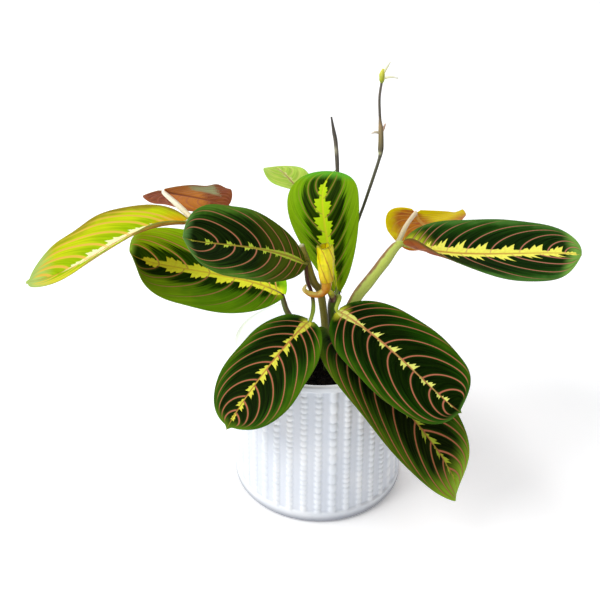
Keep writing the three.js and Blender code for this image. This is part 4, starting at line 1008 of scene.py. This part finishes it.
def joined_path(tube):
    """The path of a tube, run on into the midrib of the leaf that it carries."""
    if "leaf" not in tube:
        return tube["path"]
    leaf = LEAVES[tube["leaf"]]
    shares, flat = np.array(JOINT_SHARES), np.zeros(len(JOINT_SHARES))
    middle = blade_points(leaf, shares, flat)
    across = blade_points(leaf, shares, flat + 0.02) - middle
    normals = unit(np.cross(across, blade_points(leaf, shares + 0.01, flat) - middle))
    sunk = middle - normals * (JOINT_DEPTH + np.array(JOINT_RADII))[:, None] * JOINT_SINK
    return tube["path"] + tuple((*p, r) for p, r in zip(sunk, JOINT_RADII))


def tube_mesh(path, wobble):
    """A round, finely grooved tube with rounded ends: its points, faces and attributes."""
    rings = max(4 * len(path), int(path_length(path) / TUBE_STEP))
    shares = np.linspace(0, 1, rings)
    swell = 1 + wobble * np.sin(shares * len(path) * 2.3) * np.sin(shares * 17)
    caps = np.radians(90 * (1 - (np.arange(CAP_RINGS) + 0.35) / CAP_RINGS))
    angles = np.concatenate([-caps, np.zeros(rings), caps[::-1]])
    shares, swell = np.pad(shares, CAP_RINGS, "edge"), np.pad(swell, CAP_RINGS, constant_values=1)
    radii = path_radii(path, shares)
    centres, tangents = curve_points(path, shares)
    centres = centres + tangents * (CAP_LENGTH * radii * np.sin(angles))[:, None]
    turns = 2 * np.pi * np.arange(TUBE_SIDES) / TUBE_SIDES
    grooves = 1 - TUBE_GROOVE_DEPTH * np.cos(TUBE_GROOVES * turns + 3 * shares[:, None])
    points = around_curve(centres, tangents, turns, (radii * swell * np.cos(angles))[:, None] * grooves)
    attributes = {"along": np.repeat(shares, TUBE_SIDES), "turn": np.tile(turns / (2 * np.pi), len(shares))}
    return points.reshape(-1, 3), closed_faces(len(shares), TUBE_SIDES), attributes


def stem_material(tube):
    """A waxy stem: colours along its length, one darker side that is its own colour on some stems and painted
    shade on others, painted shade on a second side where a tube has one, fine lengthwise streaks and specks.
    """
    n = Nodes(f"stem_{tube['name']}")
    place, along = n.place(), n.attribute("along")
    side = n.facing(tube["facing"]) + (n.noise(place, 160, 3) - 0.5) * 0.7
    colour = n.stops(along, tube["colours"])
    # The darker side: the stem's own reddish colour on some tubes, painted shade on the side away from the
    # light on others.
    colour = n.blend(colour, tube["tint"], side, *tube.get("narrow", SIDE_STARTS), 0, 0.85)
    # Painted shade on a second side of the tube.
    if "shade" in tube:
        colour = n.blend(colour, tube["shade"], n.facing(tube["shade_facing"]), 0.3, 0.95, 0, 0.85)
    streaks = n.noise(n.vector(n.attribute("turn") * 9, along * 4), 1, 4)
    colour = n.blend(colour, n.mix(0.16, colour, "#ffffff"), streaks, 0.35, 0.8, 0, 0.5)
    specks = n.noise(place, 900)
    colour = n.blend(colour, n.mix(0.5, colour, "#2c2410"), specks, 0.58, 0.7, 0, 0.35)
    # Painted shade: the stem turns near black low down, where the pot shades it.
    colour = n.blend(colour, "#0a0b04", n.coordinate("Z"), *STEM_FOOT_SHADE, 0.88, 0)
    n.bump(streaks + specks * 0.3, 0.3, 0.0004)
    return n.finish(colour, n.ramp(streaks, 0.3, 0.7, 0.38, 0.52), specular=0.15)


def make_stems():
    for node, tubes in STEMS.items():
        for tube in tubes:
            points, faces, attributes = tube_mesh(joined_path(tube), STEM_WOBBLE)
            new_piece(tube["name"], points, faces, stem_material(tube), [node], attributes)


def rolled_sheet():
    """The young leaf as a pleated sheet rolled up around a curve: its points, faces and attributes."""
    shares = np.linspace(0, 1, ROLL_RINGS)[:, None]
    around = np.linspace(0, 1, ROLL_POINTS)
    around = np.concatenate([around, around[::-1]])
    turns = 2 * np.pi * ROLL_TURNS * around
    pleat = 1 + PLEAT_DEPTH * np.sin(turns * ROLL_PLEATS + 4 * shares) + 0.03 * np.sin(16 * shares)
    reach = path_radii(ROLL_PATH, shares) * (1 - ROLL_TIGHTEN * around) * pleat
    reach -= np.repeat([0, ROLL_SHEET], ROLL_POINTS)
    ragged = 0.7 * np.sin(turns * 2.5 + 1) + 0.4 * np.sin(turns * 6)
    lift = (1 - smoothstep(shares, 0, 0.12)) * ragged
    centres, tangents = curve_points(ROLL_PATH, shares[:, 0])
    points = around_curve(centres, tangents, turns, reach) - tangents[:, None] * lift[..., None]
    ring = 2 * ROLL_POINTS
    faces = grid_faces(ROLL_RINGS, ring, closed=True)
    for start, order in ((0, -1), ((ROLL_RINGS - 1) * ring, 1)):
        faces += [(start + j, start + j + 1, start + ring - 2 - j, start + ring - 1 - j)[::order]
                  for j in range(ROLL_POINTS - 1)]
    attributes = {"along": shares + 0 * reach, "turn": around + 0 * reach}
    return points.reshape(-1, 3), faces, attributes


def rolled_material():
    n = Nodes("young_leaf")
    length = n.attribute("along")
    blotch = n.noise(n.place(), 180, 3)
    share = n.math("FRACT", n.attribute("turn") * 7 + length * 1.6 + (blotch - 0.5) * 0.5)
    near = n.math("MINIMUM", share, 1 - share)
    colour = n.blend("#fff000", "#e0d808", blotch, 0.35, 0.7)
    colour = n.blend(colour, "#e8b410", length, 0.5, 1, 0, 0.6)
    colour = n.blend(colour, "#b4640c", near, 0.03, 0.12, 0.7, 0)
    colour = n.blend(colour, "#7c7c10", length, 0, 0.06, 0.7, 0)
    n.bump(near + blotch, 0.4, 0.0006)
    return n.finish(colour, 0.42, specular=0.4)


def hook_material():
    n = Nodes("young_leaf_hook")
    blotch = n.noise(n.place(), 260, 3)
    colour = n.stops(n.attribute("along"), HOOK_COLOURS)
    # Painted highlight: the hook turns pale yellow where it faces up.
    colour = n.blend(colour, "#f4e46c", n.facing((0, 0, 1)), -0.1, 0.8, 0, 0.8)
    colour = n.blend(colour, "#c05c14", blotch, 0.5, 0.72, 0, 0.7)
    n.bump(blotch, 0.4, 0.0006)
    return n.finish(colour, 0.35)


def make_young_leaf():
    """The young leaf: a spiral sheet with lengthwise veins, and the hook that it hangs from."""
    points, faces, attributes = rolled_sheet()
    new_piece("young_leaf", points, faces, rolled_material(), ["leaf_curled"], attributes)
    points, faces, attributes = tube_mesh(HOOK_PATH, HOOK_WOBBLE)
    new_piece("young_leaf_hook", points, faces, hook_material(), ["leaf_curled"], attributes)


# Pot and soil

def pot_relief(turn, z):
    """How far the wall's surface lies inside the crests of the beads."""
    place = (turn - math.radians(RIB_TURN)) * RIB_COUNT / (2 * np.pi)
    rib = np.round(place)
    off = np.abs(place - rib)
    large = np.mod(rib - LARGE_FIRST, LARGE_EVERY) == 0
    count = np.where(large, LARGE_BEADS, BEADS_PER_RIB)
    uneven = 0.25 * np.sin(rib * 4.1 + z / 9) + 0.3 * np.sin(rib * 2.3)
    bead = np.mod((z - RIB_START) / (RIB_END - RIB_START) * count + uneven, 1)
    rounded = np.sqrt(np.maximum(1 - (2 * bead - 1) ** 2, 0))
    width = RIB_WIDTH * (0.6 + 0.4 * rounded) * np.where(large, LARGE_WIDTH, 1)
    crest = 1 - smoothstep(off, width * 0.3, width)
    ends = smoothstep(z, RIB_START, RIB_START + RIB_BLEND) * (1 - smoothstep(z, RIB_END - RIB_BLEND, RIB_END))
    strength = 0.85 + 0.15 * np.sin(rib * 1.7)
    height = crest * strength * (RIB_RELIEF - BEAD_DIP * (1 - rounded))
    return (RIB_RELIEF - height) * ends


def quarter_round(centre_radius, centre_height, size, start, steps=6):
    angles = np.radians(start + 90 * np.linspace(0, 1, steps))
    return [(centre_radius + size * math.cos(a), centre_height + size * math.sin(a)) for a in angles]


def pot_profile():
    """The pot's outline as pairs of radius and height, from the middle of its foot to its inner floor."""
    foot = POT_FOOT_RADIUS - FOOT_ROUND
    rim = POT_HEIGHT - RIM_ROUND
    slope = (POT_RIM_RADIUS - POT_FOOT_RADIUS) / POT_HEIGHT
    profile = [(POT_CENTRE_RADIUS, 0), (foot - 6, 0), (foot - 4, 0)]
    profile += quarter_round(foot, FOOT_ROUND, FOOT_ROUND, -90)
    profile += [(POT_FOOT_RADIUS + slope * z, z) for z in np.linspace(FOOT_ROUND + 0.6, rim - 0.4, POT_ROWS)]
    profile += quarter_round(POT_RIM_RADIUS - RIM_ROUND, rim, RIM_ROUND, 0)
    profile += quarter_round(POT_INNER_RADIUS + RIM_ROUND, rim, RIM_ROUND, 90)
    profile += [(POT_INNER_RADIUS, z) for z in np.linspace(POT_HEIGHT - 2, POT_FLOOR, 12)]
    return profile + [(POT_CENTRE_RADIUS, POT_FLOOR)]


def pot_material():
    n = Nodes("pot_glaze")
    place, height = n.place(), n.coordinate("Z")
    cloud, speck = n.noise(place, 38, 4), n.noise(place, 700, 3)
    colour = n.blend("#f4f6f9", "#e6ebf2", cloud, 0.3, 0.7)
    # Painted shade: the glaze turns blue-grey between the beads, where the wall lies lowest.
    colour = n.blend(colour, "#ccd3e0", n.attribute("low"), 0.5, 1, 0, 0.5)
    colour = n.blend(colour, "#c8ccd4", speck, 0.66, 0.75, 0, 0.25)
    # Painted shade: the glaze darkens to blue-grey near the foot and is darkest at its bottom edge.
    colour = n.blend(colour, "#7f8694", height, 0, 0.012, 0.5, 0)
    colour = n.blend(colour, "#4c5266", height, 0, 0.008, 0.8, 0)
    # Painted light: the inside of the pot glows though no lamp lights it.
    n.glow("#f4f7fb", n.attribute("inside") * INSIDE_GLOW)
    n.bump(cloud * 0.8 + speck * 0.12, 0.25, 0.001)
    return n.finish(colour, n.ramp(speck, 0.3, 0.8, 0.3, 0.42), coat=0.15)


def make_pot():
    """The ribbed cover pot: foot, beaded wall, rim and inside."""
    profile = np.array(pot_profile())
    radius, height = profile[:, :1], profile[:, 1:]
    turns = 2 * np.pi * np.arange(POT_COLUMNS) / POT_COLUMNS
    on_wall = (radius > POT_RIM_RADIUS - 1) & (height > FOOT_ROUND)
    relief = np.where(on_wall, pot_relief(turns, height), 0)
    hand_made = 0.06 * np.sin(3 * turns + height / 19) + 0.04 * np.sin(5 * turns - height / 11)
    reach = radius - relief + np.where(on_wall, hand_made, 0)
    points = np.stack([reach * np.cos(turns), reach * np.sin(turns), height + 0 * turns], -1)
    inside = smoothstep(np.arange(len(profile)), *INSIDE_ROWS)[:, None] + 0 * reach
    # The low attribute carries the painted shade between the beads.
    new_piece("ribbed_pot", points.reshape(-1, 3), closed_faces(len(profile), POT_COLUMNS), pot_material(),
              ["pot"], {"low": relief / RIB_RELIEF, "inside": inside})


def soil_height(x, y):
    """The level of the soil: flat where the stems stand, and lower towards the pot's wall."""
    out = np.maximum(np.hypot(x, y) - SOIL_FLAT_RADIUS, 0)
    return SOIL_LEVEL - SOIL_FALL * out / (POT_INNER_RADIUS - SOIL_FLAT_RADIUS)


def soil_material():
    n = Nodes("soil_crumbs")
    lumps, fibres = n.noise(n.place(), 420, 4), n.noise(n.place(), 130, 3)
    colour = n.blend("#050403", "#171009", lumps, 0.35, 0.7)
    colour = n.blend(colour, "#2a2014", fibres, 0.6, 0.75, 0, 0.5)
    n.bump(lumps, 0.9, 0.002)
    return n.finish(colour, 0.95, specular=0.15)


def make_soil_surface(material):
    """A lumpy skin of soil, with a skirt along the pot's wall."""
    spread = np.linspace(0.004, 1, SOIL_RINGS)[:, None] * SOIL_RADIUS
    turns = 2 * np.pi * np.arange(SOIL_SPOKES) / SOIL_SPOKES
    x, y = spread * np.cos(turns), spread * np.sin(turns)
    height = soil_height(x, y) + 0.2
    for size, count in SOIL_LUMPS:
        for _ in range(LUMP_WAVES):
            direction, phase = random.uniform(0, 2 * np.pi, 2)
            along = (x * np.cos(direction) + y * np.sin(direction)) / SOIL_RADIUS
            height += size * 0.3 * np.sin(along * count * 1.7 + phase)
    skirt = np.stack([x[-1], y[-1], height[-1] - SOIL_SKIN], -1)
    points = np.vstack([np.stack([x, y, height], -1).reshape(-1, 3), skirt])
    faces = closed_faces(SOIL_RINGS + 1, SOIL_SPOKES)
    new_piece("soil_surface", points, faces, material, ["soil"])


def make_soil_grains(material):
    """Grains pressed into the soil, each a small uneven lump."""
    turns = 2 * np.pi * np.arange(GRAIN_SIDES) / GRAIN_SIDES
    shape = np.array([(math.cos(a) * math.cos(b), math.sin(a) * math.cos(b), math.sin(b))
                      for b in np.radians(GRAIN_RINGS) for a in turns])
    points, faces = [], []
    for _ in range(GRAIN_COUNT):
        reach = SOIL_RADIUS * GRAIN_REACH * math.sqrt(random.uniform())
        turn, size = random.uniform(0, 2 * np.pi), random.uniform(*GRAIN_SIZES)
        x, y = reach * math.cos(turn), reach * math.sin(turn)
        centre = np.array([x, y, soil_height(x, y) + random.uniform(*GRAIN_HEIGHTS)])
        stretch = size * random.uniform(*GRAIN_STRETCH, 3)
        faces += closed_faces(len(GRAIN_RINGS), GRAIN_SIDES, start=len(points))
        points += [centre + stretch * p * random.uniform(*GRAIN_UNEVEN) for p in shape]
    new_piece("soil_grains", points, faces, material, ["soil"])


def make_soil():
    """Dark crumbly soil: its surface first and then its grains, so that the draws keep their order."""
    material = soil_material()
    make_soil_surface(material)
    make_soil_grains(material)


# Stage, lights and camera

def new_stage():
    """A pale floor that rises into a pale backdrop in one sweep."""
    start = FLOOR_FAR - FLOOR_BEND
    bend = [(start + FLOOR_BEND * math.sin(a), FLOOR_BEND - FLOOR_BEND * math.cos(a))
            for a in np.radians(range(6, 91, 6))]
    profile = [(FLOOR_NEAR, 0), (start, 0), *bend, (FLOOR_FAR, FLOOR_TOP)]
    points = [(x, y, z) for y, z in profile for x in (-FLOOR_HALF_WIDTH, FLOOR_HALF_WIDTH)]
    faces = [(2 * k, 2 * k + 1, 2 * k + 3, 2 * k + 2) for k in range(len(profile) - 1)]
    n = Nodes("floor")
    n.glow("#ffffff", FLOOR_GLOW)
    floor = placed("floor", new_mesh("floor", points, faces, n.finish("#ffffff", 0.9, specular=0.1)))


def new_light(name, place, size, power, colour):
    data = bpy.data.lights.new(name, "AREA")
    data.size = size
    data.energy = power
    data.color = colour
    light = placed(name, data)
    light.location = place
    light.rotation_mode = "QUATERNION"
    light.rotation_quaternion = (Vector(LIGHT_TARGET) - Vector(place)).to_track_quat("-Z", "Y")


def light_scene():
    world = bpy.data.worlds.new("studio")
    world.use_nodes = True
    background = world.node_tree.nodes["Background"]
    background.inputs["Color"].default_value = WORLD_COLOUR
    background.inputs["Strength"].default_value = WORLD_STRENGTH
    bpy.context.scene.world = world
    for light in LIGHTS:
        new_light(*light)
    bpy.context.scene.view_settings.view_transform = "Standard"


def aim_camera():
    data = bpy.data.cameras.new("camera")
    data.lens = CAMERA_LENS
    data.sensor_width = CAMERA_SENSOR
    camera = placed("camera", data)
    down = math.radians(CAMERA_ELEVATION)
    x, y, z = CAMERA_TARGET
    camera.location = (x * MM, (y - CAMERA_DISTANCE * math.cos(down)) * MM,
                       (z + CAMERA_DISTANCE * math.sin(down)) * MM)
    camera.rotation_euler = (math.pi / 2 - down, 0, 0)
    bpy.context.scene.camera = camera


aim_camera()
light_scene()
new_stage()
make_pot()
make_soil()
make_stems()
make_young_leaf()
make_leaves()
